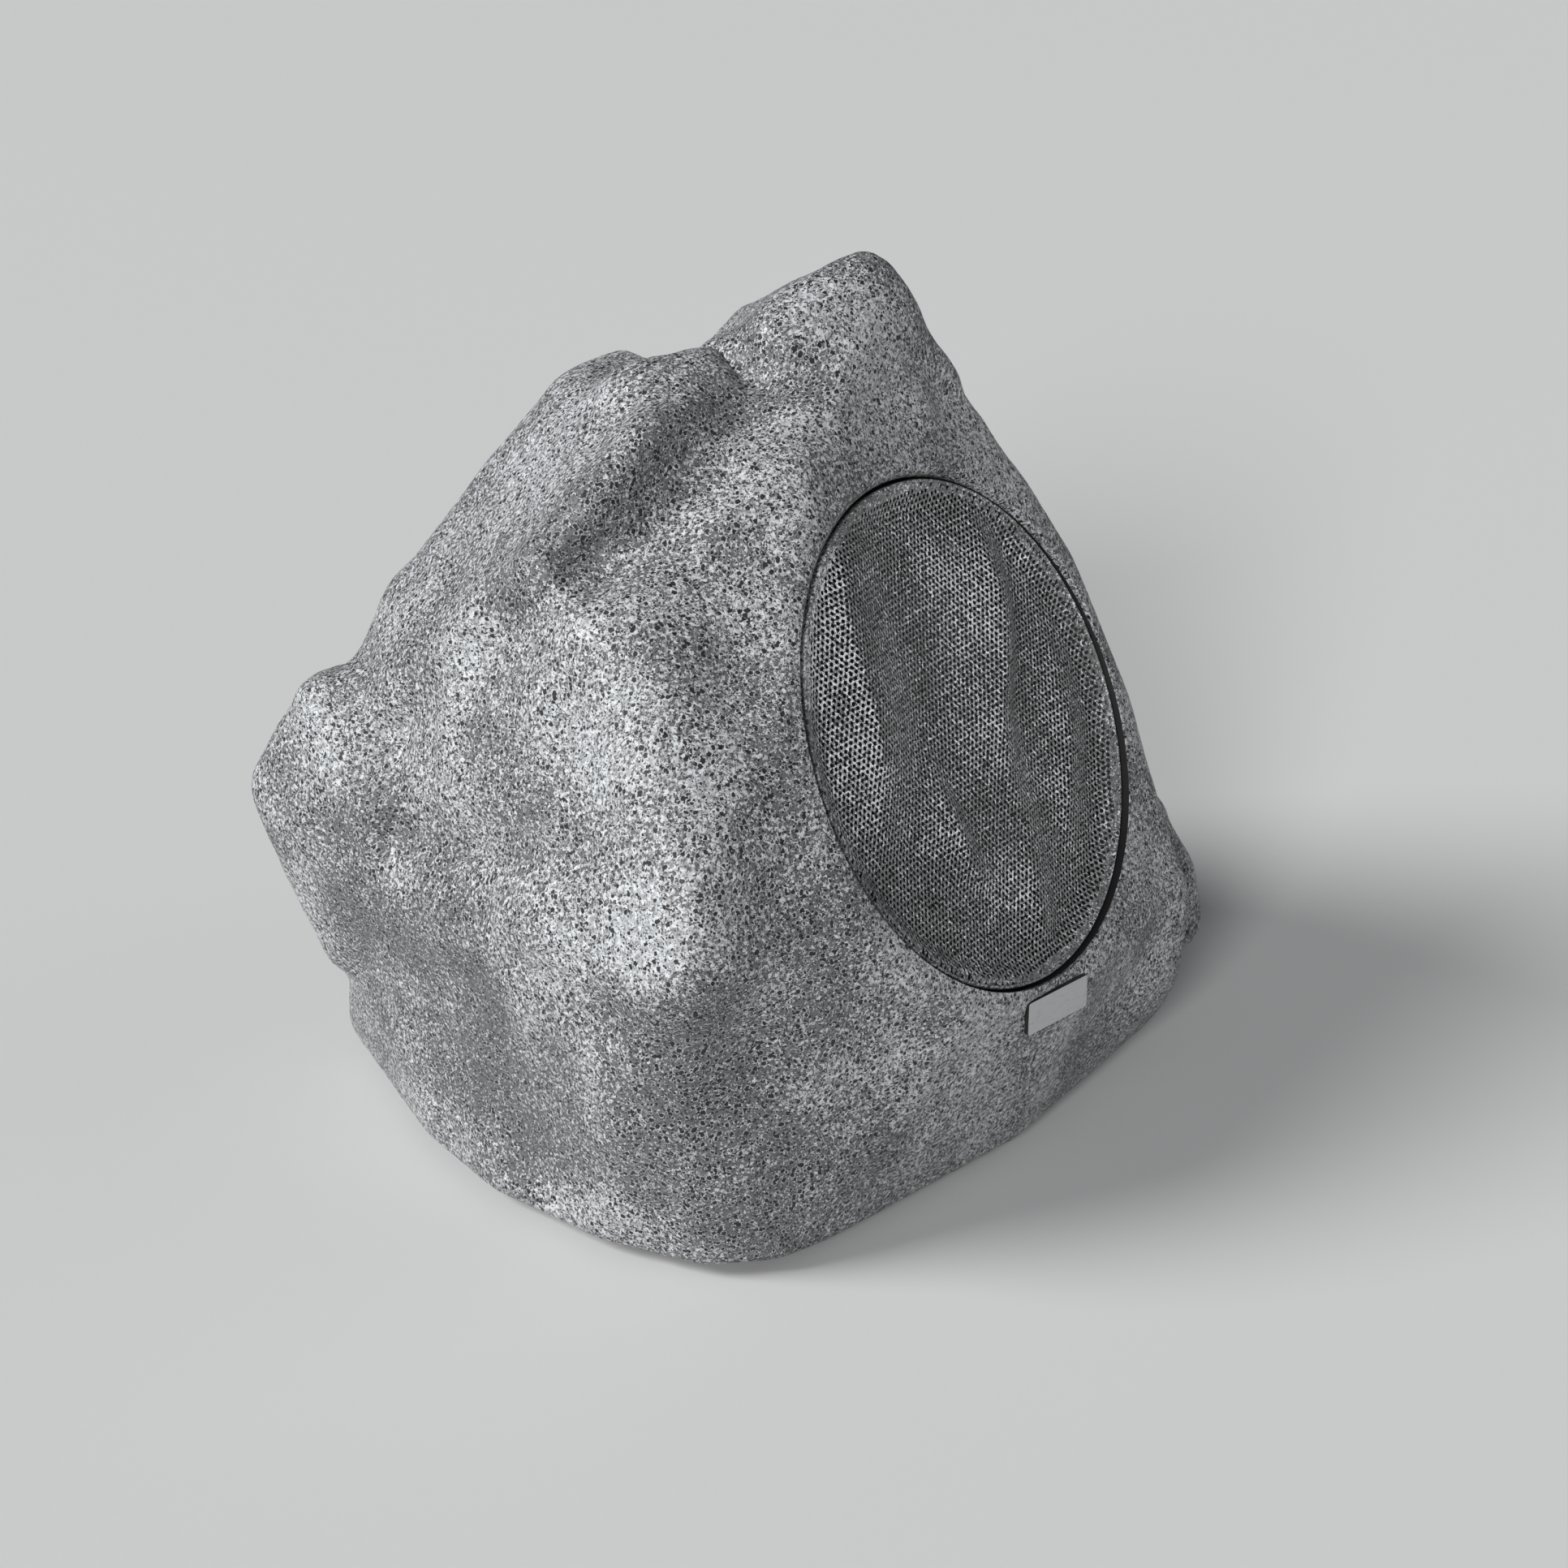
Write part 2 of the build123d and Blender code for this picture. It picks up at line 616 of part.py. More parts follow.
# Wires: block to winding, winding to the driver's tags
winding_face = TRANSFORMER_AT[1] - WINDING_T / 2
winding_z = PLATE_TOP + CORE_H / 2
block_face = BLOCK_AT[0] + BLOCK_W / 2
line_leads = []
driver_leads = []
for side in (-1, 1):
    y = BLOCK_AT[1] - WAY / 2 + WAY / 2 * (side - 1) / 2
    x = -9 + 3 * side
    foot = (x, y, LEAD_Z)
    end = (x, winding_face, winding_z - 2)
    line_leads.append(lead((block_face, y, LEAD_Z), foot, (x, y, winding_z - 2), end))
    tip = front.from_local_coords((TAG_SPAN / 2 * side, tag_tip, TAG_DEPTH))
    below = front.from_local_coords((TAG_SPAN / 2 * side, tag_tip - 8, TAG_DEPTH))
    x = tip.X
    driver_leads.append(lead((x, winding_face, winding_z + 6), (x, -20, winding_z + 6), below, tip))
save("line_leads", Part() + line_leads)
save("driver_leads", Part() + driver_leads)
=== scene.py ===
# %% [markdown]
# # A garden speaker moulded as a rock
#
# The real object is a hollow plastic stone with a granite print on it. A round, softly folded steel grille
# covers the loudspeaker in its front, and a small bare plate sits below the grille. This lesson dresses
# plain solids: it loads them, sculpts the stone's skin, punches the grille, and gives every piece a finish.

# %% Load the frame
import json
import math

import bmesh
import bpy
from mathutils import Matrix, Vector, noise


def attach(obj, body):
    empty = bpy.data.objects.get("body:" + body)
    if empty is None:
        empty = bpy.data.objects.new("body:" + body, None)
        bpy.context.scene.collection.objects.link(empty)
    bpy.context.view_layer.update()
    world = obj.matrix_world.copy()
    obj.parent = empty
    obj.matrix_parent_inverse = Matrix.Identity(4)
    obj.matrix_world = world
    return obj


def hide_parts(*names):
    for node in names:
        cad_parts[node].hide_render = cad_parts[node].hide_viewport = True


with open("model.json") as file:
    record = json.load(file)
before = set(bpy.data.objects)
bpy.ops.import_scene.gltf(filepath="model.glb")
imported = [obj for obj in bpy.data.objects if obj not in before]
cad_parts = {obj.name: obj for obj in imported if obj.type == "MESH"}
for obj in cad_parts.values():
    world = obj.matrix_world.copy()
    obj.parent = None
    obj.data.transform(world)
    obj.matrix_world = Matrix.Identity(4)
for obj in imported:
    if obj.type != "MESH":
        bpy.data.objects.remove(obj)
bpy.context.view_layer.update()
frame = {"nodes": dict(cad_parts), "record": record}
nodes = frame["nodes"]

# %% [markdown]
# ## The camera
#
# The picture was taken from the front left and a little above, with the whole stone well inside a square
# frame. A camera could be aimed with a Track To constraint, but plain angles are easier to read: it is
# tipped 24 degrees below the horizon and turned 56 degrees to the right of the view along +Y. It has no
# shift.

# %% Camera
CAMERA_PLACE = (-0.7947, -0.5648, 0.5485)
FIELD_OF_VIEW = math.radians(30)
TIPPED_DOWN = 24
TURNED_RIGHT = 56

scene = bpy.context.scene
camera_data = bpy.data.cameras.new("photo_camera")
camera_data.angle = FIELD_OF_VIEW
camera = bpy.data.objects.new("photo_camera", camera_data)
camera.location = CAMERA_PLACE
camera.rotation_euler = (math.radians(90 - TIPPED_DOWN), 0, math.radians(-TURNED_RIGHT))
scene.collection.objects.link(camera)
scene.camera = camera
print("camera stands", round(camera.location.length, 3), "m from the middle of the floor under the stone")

# %% [markdown]
# ## Light and floor
#
# A stone with a satin print shows its shape by broad soft light. Area lamps near the stone would light the
# floor unevenly, so three wide suns are used, which fall on everything alike: one from behind on the left
# that draws the ridges, one from the left that rakes over the folds of the grille, and a weak wide one from
# the front right. A pale world fills the shadows. The floor is a plain sheet that belongs to the stage, not
# to the part.

# %% Studio
SUN_AIM = Vector((0, 0, 0.15))
SKY_COLOUR = (0.93, 0.96, 1.0, 1)
SKY_STRENGTH = 0.13
FLOOR_HALF = 15.0
PAPER_COLOUR = (0.62, 0.62, 0.62, 1)
PAPER_ROUGHNESS = 0.9

scene.view_settings.view_transform = "Standard"


def soft_sun(name, place, width, strength):
    """A sun that shines from a place towards the stone, as wide in the sky as an angle in degrees."""
    data = bpy.data.lights.new(name, "SUN")
    data.angle = math.radians(width)
    data.energy = strength
    lamp = bpy.data.objects.new(name, data)
    lamp.location = place
    lamp.rotation_euler = (SUN_AIM - Vector(place)).to_track_quat("-Z", "Y").to_euler()
    scene.collection.objects.link(lamp)


soft_sun("behind_left", (-1.38, 1.15, 1.55), width=24, strength=2.7)
soft_sun("left", (-1.6, -0.5, 0.8), width=16, strength=2.1)
soft_sun("front_right", (0.9, -1.4, 1.5), width=40, strength=0.2)

world = bpy.data.worlds.new("studio")
world.use_nodes = True
sky = world.node_tree.nodes["Background"]
sky.inputs["Color"].default_value = SKY_COLOUR
sky.inputs["Strength"].default_value = SKY_STRENGTH
scene.world = world

floor_net = bmesh.new()
bmesh.ops.create_grid(floor_net, x_segments=1, y_segments=1, size=FLOOR_HALF)
floor_data = bpy.data.meshes.new("floor")
floor_net.to_mesh(floor_data)
floor_net.free()
floor = bpy.data.objects.new("floor", floor_data)
scene.collection.objects.link(floor)
paper = bpy.data.materials.new("paper")
paper.use_nodes = True
paper_shader = paper.node_tree.nodes["Principled BSDF"]
paper_shader.inputs["Base Color"].default_value = PAPER_COLOUR
paper_shader.inputs["Roughness"].default_value = PAPER_ROUGHNESS
floor_data.materials.append(paper)

# %% [markdown]
# ## Small helpers for finishes
#
# A finish is a tree of nodes. A few helpers keep the trees readable. One sets a socket or links it, one
# adds a node and feeds its sockets by name, and others stand for the nodes that are used most: sums, soft
# steps and layers of colour. A value that another node drives is given as that node's socket.

# %% Node helpers
# Where the colour sockets of a Mix node lie among all of its sockets.
MIX_FACTOR, MIX_UNDER, MIX_OVER, MIX_RESULT = 0, 6, 7, 2


def feed(tree, socket, value):
    """Links a socket to another one, or sets its value."""
    if isinstance(value, bpy.types.NodeSocket):
        tree.links.new(value, socket)
    else:
        socket.default_value = value


def add_node(tree, kind, props=None, **sockets):
    """Adds a node, sets its properties, and feeds its input sockets by name."""
    made = tree.nodes.new(kind)
    for name, value in (props or {}).items():
        setattr(made, name, value)
    for name, value in sockets.items():
        feed(tree, made.inputs[name.replace("_", " ")], value)
    return made


def math_node(tree, operation, first, second=0.0):
    """A Math node on two values or sockets."""
    made = tree.nodes.new("ShaderNodeMath")
    made.operation = operation
    feed(tree, made.inputs[0], first)
    feed(tree, made.inputs[1], second)
    return made.outputs[0]


def plus(tree, first, second):
    return math_node(tree, "ADD", first, second)


def minus(tree, first, second):
    return math_node(tree, "SUBTRACT", first, second)


def times(tree, first, second):
    return math_node(tree, "MULTIPLY", first, second)


def ramp(tree, value, low, high, bottom=0.0, top=1.0):
    """A soft step from bottom to top as the value climbs from low to high."""
    made = tree.nodes.new("ShaderNodeMapRange")
    made.interpolation_type = "SMOOTHSTEP"
    ends = {"Value": value, "From Min": low, "From Max": high, "To Min": bottom, "To Max": top}
    for name, amount in ends.items():
        feed(tree, made.inputs[name], amount)
    return made.outputs["Result"]


def tint(tree, factor, under, over):
    """Lays one colour over another by a mask."""
    made = tree.nodes.new("ShaderNodeMix")
    made.data_type = "RGBA"
    for place, value in ((MIX_FACTOR, factor), (MIX_UNDER, under), (MIX_OVER, over)):
        feed(tree, made.inputs[place], value)
    return made.outputs[MIX_RESULT]


def noise_node(tree, position, scale, detail, **more):
    """The outputs of a Noise Texture that is read at a position."""
    return add_node(tree, "ShaderNodeTexNoise", Vector=position, Scale=scale, Detail=detail, **more).outputs


def grey(level, warmth=0.0):
    """A linear grey with a touch of warmth, or of blue when it is below nought."""
    return (level * (1 + warmth), level, level * (1 - warmth), 1)


print("helpers ready")

# %% Helpers for groups and materials
VECTOR, COLOUR, FLOAT = "NodeSocketVector", "NodeSocketColor", "NodeSocketFloat"


def start_group(name, inputs, outputs):
    """A node group with its sockets, and the two ends that its nodes are linked to."""
    tree = bpy.data.node_groups.new(name, "ShaderNodeTree")
    for label, kind, start in inputs:
        socket = tree.interface.new_socket(label, in_out="INPUT", socket_type=kind)
        if start is not None:
            socket.default_value = start
    for label, kind in outputs:
        tree.interface.new_socket(label, in_out="OUTPUT", socket_type=kind)
    given = tree.nodes.new("NodeGroupInput").outputs
    result = tree.nodes.new("NodeGroupOutput").inputs
    return tree, given, result


def start_finish(name, metallic=0.0):
    """A material with one Principled shader, and the shader."""
    finish = bpy.data.materials.new(name)
    finish.use_nodes = True
    shader = finish.node_tree.nodes["Principled BSDF"]
    shader.inputs["Metallic"].default_value = metallic
    return finish, shader


def raise_relief(tree, shader, height, strength, depth, **more):
    """Raises a fine relief on a finish."""
    relief = add_node(tree, "ShaderNodeBump", Strength=strength, Distance=depth, Height=height, **more)
    tree.links.new(relief.outputs["Normal"], shader.inputs["Normal"])


print("sockets:", VECTOR, COLOUR, FLOAT)

# %% [markdown]
# ## The granite print
#
# The stone is not granite. It carries a printed film: a flat mid grey, with ragged pale blotches about a
# millimetre wide, thin dark curls, pale specks and near black dots. In places the film was stretched, so
# its pattern is drawn out there. The grille wears the same print. Its pale blotches gather on the flanks of
# the folds that face the light, which is painted light. A node group holds the pattern once, and each finish
# places it with its own colours.
# Noise gives the blotches their ragged rims, and Voronoi cells give the dots.

# %% Granite print group
# Sizes of the print's patterns, in waves or cells per metre.
FILM_STRETCH, RAGGED_RIMS, PATCHES, SKIN_GRAIN = 24.0, 1100.0, 34.0, 900.0
BLOTCHES, MOTTLE, CURLS = 780.0, 520.0, 740.0
PALE_SPECKS, BIG_DOTS, SMALL_DOTS = 1250.0, 520.0, 1000.0
# How far the film is stretched and its rims are pushed about, in metres.
STRETCH_REACH, RAGGED_REACH = 0.007, 0.0012


def make_granite_print():
    """Builds the pattern: pale blotches, dark curls, pale specks, and dots with pale halos."""
    tree, given, result = start_group(
        "granite_print",
        inputs=(
            ("Position", VECTOR, None),
            ("Base Colour", COLOUR, grey(0.16)),
            ("Pale Colour", COLOUR, grey(0.5)),
            ("Dark Colour", COLOUR, grey(0.015)),
            ("Pale Share", FLOAT, 0.5),
            ("Dark Share", FLOAT, 0.5),
        ),
        outputs=(("Colour", COLOUR), ("Height", FLOAT), ("Patch", FLOAT)),
    )

    def moved(position, scale, reach):
        """Pushes points about by a noise, so that what is drawn on them is stretched and ragged."""
        push = noise_node(tree, position, scale, detail=1.0)
        centred = add_node(tree, "ShaderNodeVectorMath", {"operation": "SUBTRACT"})
        tree.links.new(push["Color"], centred.inputs[0])
        centred.inputs[1].default_value = (0.5, 0.5, 0.5)
        scaled = add_node(tree, "ShaderNodeVectorMath", {"operation": "SCALE"}, Scale=reach)
        tree.links.new(centred.outputs[0], scaled.inputs[0])
        total = add_node(tree, "ShaderNodeVectorMath", {"operation": "ADD"})
        tree.links.new(position, total.inputs[0])
        tree.links.new(scaled.outputs[0], total.inputs[1])
        return total.outputs[0]

    def dots(position, scale, small, large, share):
        """A mask of round dots: some Voronoi cells hold one, and each has its own size."""
        cells = add_node(tree, "ShaderNodeTexVoronoi", Vector=position, Scale=scale)
        chance = add_node(tree, "ShaderNodeSeparateColor", Color=cells.outputs["Color"])
        reach = ramp(tree, chance.outputs[1], 0.0, 1.0, small, large)
        inside = minus(tree, reach, cells.outputs["Distance"])
        there = math_node(tree, "LESS_THAN", chance.outputs[0], share)
        return times(tree, ramp(tree, inside, 0.0, 0.05), there), inside, there

    stretched = moved(given["Position"], FILM_STRETCH, STRETCH_REACH)
    ragged = moved(stretched, RAGGED_RIMS, RAGGED_REACH)
    patch = noise_node(tree, given["Position"], PATCHES, detail=2.0)["Fac"]

    blotch = noise_node(tree, ragged, BLOTCHES, detail=2.0, Roughness=0.55)["Fac"]
    lift = times(tree, minus(tree, patch, 0.5), 0.4)
    rim = plus(tree, times(tree, given["Pale Share"], 0.28), 0.36)
    rim = plus(tree, rim, lift)
    pale = minus(tree, plus(tree, blotch, rim), 1.0)
    pale = ramp(tree, pale, -0.02, 0.04)
    mottle = noise_node(tree, stretched, MOTTLE, detail=2.0)["Fac"]
    pale = times(tree, pale, ramp(tree, mottle, 0.32, 0.66, 0.35, 1.0))

    curl = noise_node(tree, ragged, CURLS, detail=1.0)["Color"]
    curl = add_node(tree, "ShaderNodeSeparateColor", Color=curl).outputs
    line = math_node(tree, "ABSOLUTE", minus(tree, curl[1], 0.5))
    line = ramp(tree, line, 0.014, 0.042, 1.0, 0.0)
    line = times(tree, line, ramp(tree, curl[2], 0.38, 0.46))

    specks, _, _ = dots(ragged, PALE_SPECKS, small=0.18, large=0.42, share=0.4)
    big, inside, there = dots(ragged, BIG_DOTS, small=0.16, large=0.5, share=given["Dark Share"])
    small, _, _ = dots(ragged, SMALL_DOTS, small=0.20, large=0.5, share=0.5)
    halo = times(tree, ramp(tree, inside, -0.16, -0.03), there)

    colour = tint(tree, pale, given["Base Colour"], given["Pale Colour"])
    for mask, strength, over in (
        (line, 0.9, "Dark Colour"),
        (specks, 0.8, "Pale Colour"),
        (halo, 0.5, "Pale Colour"),
        (small, 0.95, "Dark Colour"),
        (big, 0.96, "Dark Colour"),
    ):
        colour = tint(tree, times(tree, mask, strength), colour, given[over])
    tree.links.new(colour, result["Colour"])

    skin = noise_node(tree, given["Position"], SKIN_GRAIN, detail=2.0)["Fac"]
    tree.links.new(plus(tree, times(tree, pale, 0.35), skin), result["Height"])
    tree.links.new(patch, result["Patch"])
    return tree


granite_print = make_granite_print()
print("granite print has", len(granite_print.nodes), "nodes")

# %% Granite finish of the stone
PRINT_DEPTH = 0.0006
PATCH_SHINE = 0.06
COAT_WEIGHT, COAT_ROUGHNESS, GLOSS = 0.06, 0.3, 0.3


def granite_finish(name, base, pale, dark, rough, bump):
    """A finish that wears the print. Two numbers kept on the net tell it how much pale and dark to show."""
    finish, shader = start_finish(name)
    tree = finish.node_tree
    place = tree.nodes.new("ShaderNodeTexCoord").outputs["Object"]
    print_node = {"node_tree": granite_print}
    colours = {"Base_Colour": base, "Pale_Colour": pale, "Dark_Colour": dark}
    pattern = add_node(tree, "ShaderNodeGroup", print_node, Position=place, **colours)
    for label, number in (("Pale Share", "pale_share"), ("Dark Share", "dark_share")):
        painted = add_node(tree, "ShaderNodeAttribute", {"attribute_name": number})
        tree.links.new(painted.outputs["Fac"], pattern.inputs[label])
    tree.links.new(pattern.outputs["Colour"], shader.inputs["Base Color"])
    shine = ramp(tree, pattern.outputs["Patch"], 0.3, 0.7, rough + PATCH_SHINE, rough - PATCH_SHINE)
    tree.links.new(shine, shader.inputs["Roughness"])
    raise_relief(tree, shader, pattern.outputs["Height"], bump, PRINT_DEPTH)
    shader.inputs["Coat Weight"].default_value = COAT_WEIGHT
    shader.inputs["Coat Roughness"].default_value = COAT_ROUGHNESS
    shader.inputs["Specular IOR Level"].default_value = GLOSS
    return finish


granite_skin = granite_finish(
    "granite_skin", grey(0.125, -0.01), grey(0.60, -0.03), grey(0.005), rough=0.5, bump=0.4
)
print("finish", granite_skin.name)

# %% [markdown]
# ## Grain, wear and turning marks
#
# The other pieces are moulded plastic, rubber and plated steel. Each shows a fine grain, a slow change of
# tone from handling and storage, and another shine where it is worn. One node group makes these for all of
# them. A second group draws rings round an axis for turned and wound pieces: the marks of a lathe, or the
# turns of a coil. The place on such a piece is first brought onto the piece's own axis with a Mapping node.

# %% Surface grain group
WORN_RIM = 0.12
# Once round, in radians.
ONE_TURN = 6.2832


def make_surface_grain():
    """Builds the grain and the wear."""
    tree, given, result = start_group(
        "surface_grain",
        inputs=(
            ("Position", VECTOR, None),
            ("Main Colour", COLOUR, grey(0.05)),
            ("Worn Colour", COLOUR, grey(0.1)),
            ("Grain Scale", FLOAT, 1500.0),
            ("Wear Scale", FLOAT, 40.0),
            ("Wear Share", FLOAT, 0.4),
        ),
        outputs=(("Colour", COLOUR), ("Wear", FLOAT), ("Height", FLOAT)),
    )
    grain = noise_node(tree, given["Position"], given["Grain Scale"], detail=3.0)["Fac"]
    slow = noise_node(tree, given["Position"], given["Wear Scale"], detail=4.0)["Fac"]
    edge = minus(tree, 0.75, times(tree, given["Wear Share"], 0.5))
    wear = ramp(tree, slow, minus(tree, edge, WORN_RIM), plus(tree, edge, WORN_RIM))
    speck = ramp(tree, grain, 0.35, 0.65)
    mask = plus(tree, times(tree, wear, 0.7), times(tree, speck, 0.3))
    tree.links.new(tint(tree, mask, given["Main Colour"], given["Worn Colour"]), result["Colour"])
    tree.links.new(mask, result["Wear"])
    tree.links.new(grain, result["Height"])
    return tree


def make_ring_marks():
    """Builds the rings, which follow each other outwards, or along the axis where Along Axis is one."""
    tree, given, result = start_group(
        "ring_marks",
        inputs=(
            ("Position", VECTOR, None),
            ("Rings per Metre", FLOAT, 2000.0),
            ("Along Axis", FLOAT, 0.0),
        ),
        outputs=(("Ring", FLOAT),),
    )
    axes = add_node(tree, "ShaderNodeSeparateXYZ", Vector=given["Position"]).outputs
    flat = add_node(tree, "ShaderNodeCombineXYZ", X=axes["X"], Y=axes["Y"])
    radius = add_node(tree, "ShaderNodeVectorMath", {"operation": "LENGTH"})
    tree.links.new(flat.outputs[0], radius.inputs[0])
    across = times(tree, radius.outputs["Value"], minus(tree, 1.0, given["Along Axis"]))
    lengthways = times(tree, axes["Z"], given["Along Axis"])
    way = times(tree, plus(tree, across, lengthways), given["Rings per Metre"])
    ring = math_node(tree, "SINE", times(tree, way, ONE_TURN))
    tree.links.new(ramp(tree, ring, -1.0, 1.0), result["Ring"])
    return tree


surface_grain = make_surface_grain()
ring_marks = make_ring_marks()
print("groups:", surface_grain.name, "and", ring_marks.name)

# %% Plain finishes
GRAIN_DEPTH = 0.0003
RING_DEPTH = 0.0004
RING_GRAIN = 0.1
# How strongly the grooves between rings are darkened, and how dark they get: painted shade.
GROOVE_SHADE = 0.35
GROOVE_SHADE_TONE = 0.4


def grained_finish(
    name, main, worn, grain=1500.0, wear=40.0, share=0.4, rough=(0.5, 0.4), bump=0.2, metal=0.0, stretch=None
):
    """A finish with grain and slow wear. Its roughness goes from one value to another where it is worn."""
    finish, shader = start_finish(name, metal)
    tree = finish.node_tree
    place = tree.nodes.new("ShaderNodeTexCoord").outputs["Object"]
    if stretch:
        turned, scaled = stretch
        place = add_node(tree, "ShaderNodeMapping", Vector=place, Rotation=turned, Scale=scaled).outputs[0]
    pattern = add_node(
        tree,
        "ShaderNodeGroup",
        {"node_tree": surface_grain},
        Position=place,
        Main_Colour=(*main, 1),
        Worn_Colour=(*worn, 1),
        Grain_Scale=grain,
        Wear_Scale=wear,
        Wear_Share=share,
    )
    tree.links.new(pattern.outputs["Colour"], shader.inputs["Base Color"])
    tree.links.new(ramp(tree, pattern.outputs["Wear"], 0.0, 1.0, *rough), shader.inputs["Roughness"])
    raise_relief(tree, shader, pattern.outputs["Height"], bump, GRAIN_DEPTH)
    return finish


def ringed_finish(name, main, worn, rings, lengthways, axis, rough, bump, metal):
    """A grained finish with rings or turns laid round an axis, which is given as (location, rotation)."""
    finish = grained_finish(name, main, worn, rough=rough, bump=RING_GRAIN, metal=metal)
    tree = finish.node_tree
    shader = tree.nodes["Principled BSDF"]
    here = tree.nodes.new("ShaderNodeTexCoord").outputs["Object"]
    to_axis = {"vector_type": "TEXTURE"}
    local = add_node(tree, "ShaderNodeMapping", to_axis, Vector=here, Location=axis[0], Rotation=axis[1])
    marks = add_node(tree, "ShaderNodeGroup", {"node_tree": ring_marks}, Position=local.outputs[0])
    marks.inputs["Rings per Metre"].default_value = rings
    marks.inputs["Along Axis"].default_value = lengthways
    grain = shader.inputs["Normal"].links[0].from_socket
    raise_relief(tree, shader, marks.outputs["Ring"], bump, RING_DEPTH, Normal=grain)
    colour = shader.inputs["Base Color"].links[0].from_socket
    # Painted shade: the colour is darkened in the grooves between the rings and turns.
    groove_shade_mask = ramp(tree, marks.outputs["Ring"], 0.0, 0.5, GROOVE_SHADE, 0.0)
    dark = (*[part * GROOVE_SHADE_TONE for part in main], 1)
    tree.links.new(tint(tree, groove_shade_mask, colour, dark), shader.inputs["Base Color"])
    return finish


bare_plastic = grained_finish(
    "bare_plastic", (0.010, 0.010, 0.011), (0.022, 0.022, 0.023), 800, 30, 0.4, (0.6, 0.5), 0.2
)
print("finish", bare_plastic.name)

# %% [markdown]
# ## Places, and small helpers for nets
#
# The grille leans back in the stone's front and the gland lies in its back, so each has a place of its own:
# a matrix that carries its own directions into the stone's. Pieces are built as nets of corners, edges and
# faces before they become objects. In Edit Mode the Spin tool would turn a half section round an axis, and
# here one function does the same for every round piece.

# %% Places on the stone
TILT = math.radians(24.7)
GRILLE_CENTRE = Vector((0, -0.105, 0.160))
OUTWARD = Vector((0, -math.cos(TILT), math.sin(TILT)))
UPWARD = Vector((0, math.sin(TILT), math.cos(TILT)))
GLAND_HEIGHT = 0.044


def placed(centre, across, up, out):
    """A place with its centre and its own three directions."""
    return Matrix.Translation(centre) @ Matrix((across, up, out)).transposed().to_4x4()


grille_place = placed(GRILLE_CENTRE, (1, 0, 0), UPWARD, OUTWARD)
to_grille = grille_place.inverted()
gland_place = Matrix.Translation((0, 0, GLAND_HEIGHT)) @ Matrix.Rotation(math.radians(-90), 4, "X")
floor_place = Matrix.Identity(4)
print("grille leans back by", round(math.degrees(TILT), 1), "degrees")

# %% Helpers for nets
FULL_CIRCLE = math.radians(360)
MERGE = 1e-6


def arc(step, count):
    """Angles from nought on, a step in degrees apart."""
    return [math.radians(step * k) for k in range(count)]


def add_drum(net, place, radius, low, high, segments=96):
    """A closed round bar along the place's own Z, between two heights."""
    middle = place @ Matrix.Translation((0, 0, (low + high) / 2))
    round_bar = {"radius1": radius, "radius2": radius, "depth": high - low, "segments": segments}
    bmesh.ops.create_cone(net, cap_ends=True, matrix=middle, **round_bar)


def add_box(net, place, sides):
    """A box with its middle at a place."""
    bmesh.ops.create_cube(net, size=1.0, matrix=place @ Matrix.Diagonal((*sides, 1)))


def close_spin(net, geom, centre, axis, steps):
    """Spins corners and edges once round an axis, and closes the seam."""
    bmesh.ops.spin(
        net, geom=geom, cent=centre, axis=axis, angle=FULL_CIRCLE, steps=steps, use_merge=True
    )
    bmesh.ops.remove_doubles(net, verts=net.verts, dist=MERGE)
    bmesh.ops.recalc_face_normals(net, faces=net.faces)


def add_turned(net, place, outline, segments=128):
    """A closed turned body from a half section of (radius, height) corners, both ends on the axis."""
    corners = [net.verts.new(place @ Vector((radius, 0, height))) for radius, height in outline]
    edges = [net.edges.new(pair) for pair in zip(corners, corners[1:])]
    close_spin(net, corners + edges, place.translation, place.to_3x3() @ Vector((0, 0, 1)), segments)


def add_ring(net, section, segments=128):
    """A ring round Z from a closed section of (radius, height) corners."""
    corners = [net.verts.new((radius, 0, height)) for radius, height in section]
    edges = [net.edges.new(pair) for pair in zip(corners, corners[1:] + corners[:1])]
    close_spin(net, corners + edges, (0, 0, 0), (0, 0, 1), segments)


def join_net(net, part):
    """Adds a net to another one and clears it away."""
    data = bpy.data.meshes.new("part")
    part.to_mesh(data)
    part.free()
    net.from_mesh(data)
    bpy.data.meshes.remove(data)


def as_object(name, net):
    """Turns a net into an object at the origin."""
    data = bpy.data.meshes.new(name)
    net.to_mesh(data)
    net.free()
    made = bpy.data.objects.new(name, data)
    scene.collection.objects.link(made)
    return made


def apply_modifiers(thing):
    """Bakes an object's modifiers into its mesh."""
    data = bpy.data.meshes.new_from_object(thing.evaluated_get(bpy.context.evaluated_depsgraph_get()))
    thing.modifiers.clear()
    old = thing.data
    thing.data = data
    bpy.data.meshes.remove(old)


def remesh(thing, voxel):
    """Turns an object into an even net."""
    voxels = thing.modifiers.new("voxels", "REMESH")
    voxels.mode = "VOXEL"
    voxels.voxel_size = voxel
    apply_modifiers(thing)


def shade_soft(thing, angle):
    """Smooth shading, with edges above an angle in degrees left sharp."""
    thing.data.shade_smooth()
    thing.data.set_sharp_from_angle(angle=math.radians(angle))


print("nets merge corners closer than", MERGE, "m")

# %% [markdown]
# ## The stone's skin
#
# The solid model gives the stone's big facets as flat planes. The moulded stone is softer: its edges are
# worn, and its faces swell and sink. Sculpting by hand would give that, but a script can do the same in
# steps. A copy of the solid is plugged where the grille, the bottom plate and the gland go, and voxel
# remeshing turns it into an even net. Smoothing wears the edges, and a few noises and brush strokes push
# the net in and out along its normals.

# %% Stone blank
STONE_VOXEL = 0.0028
WELD = 1e-5
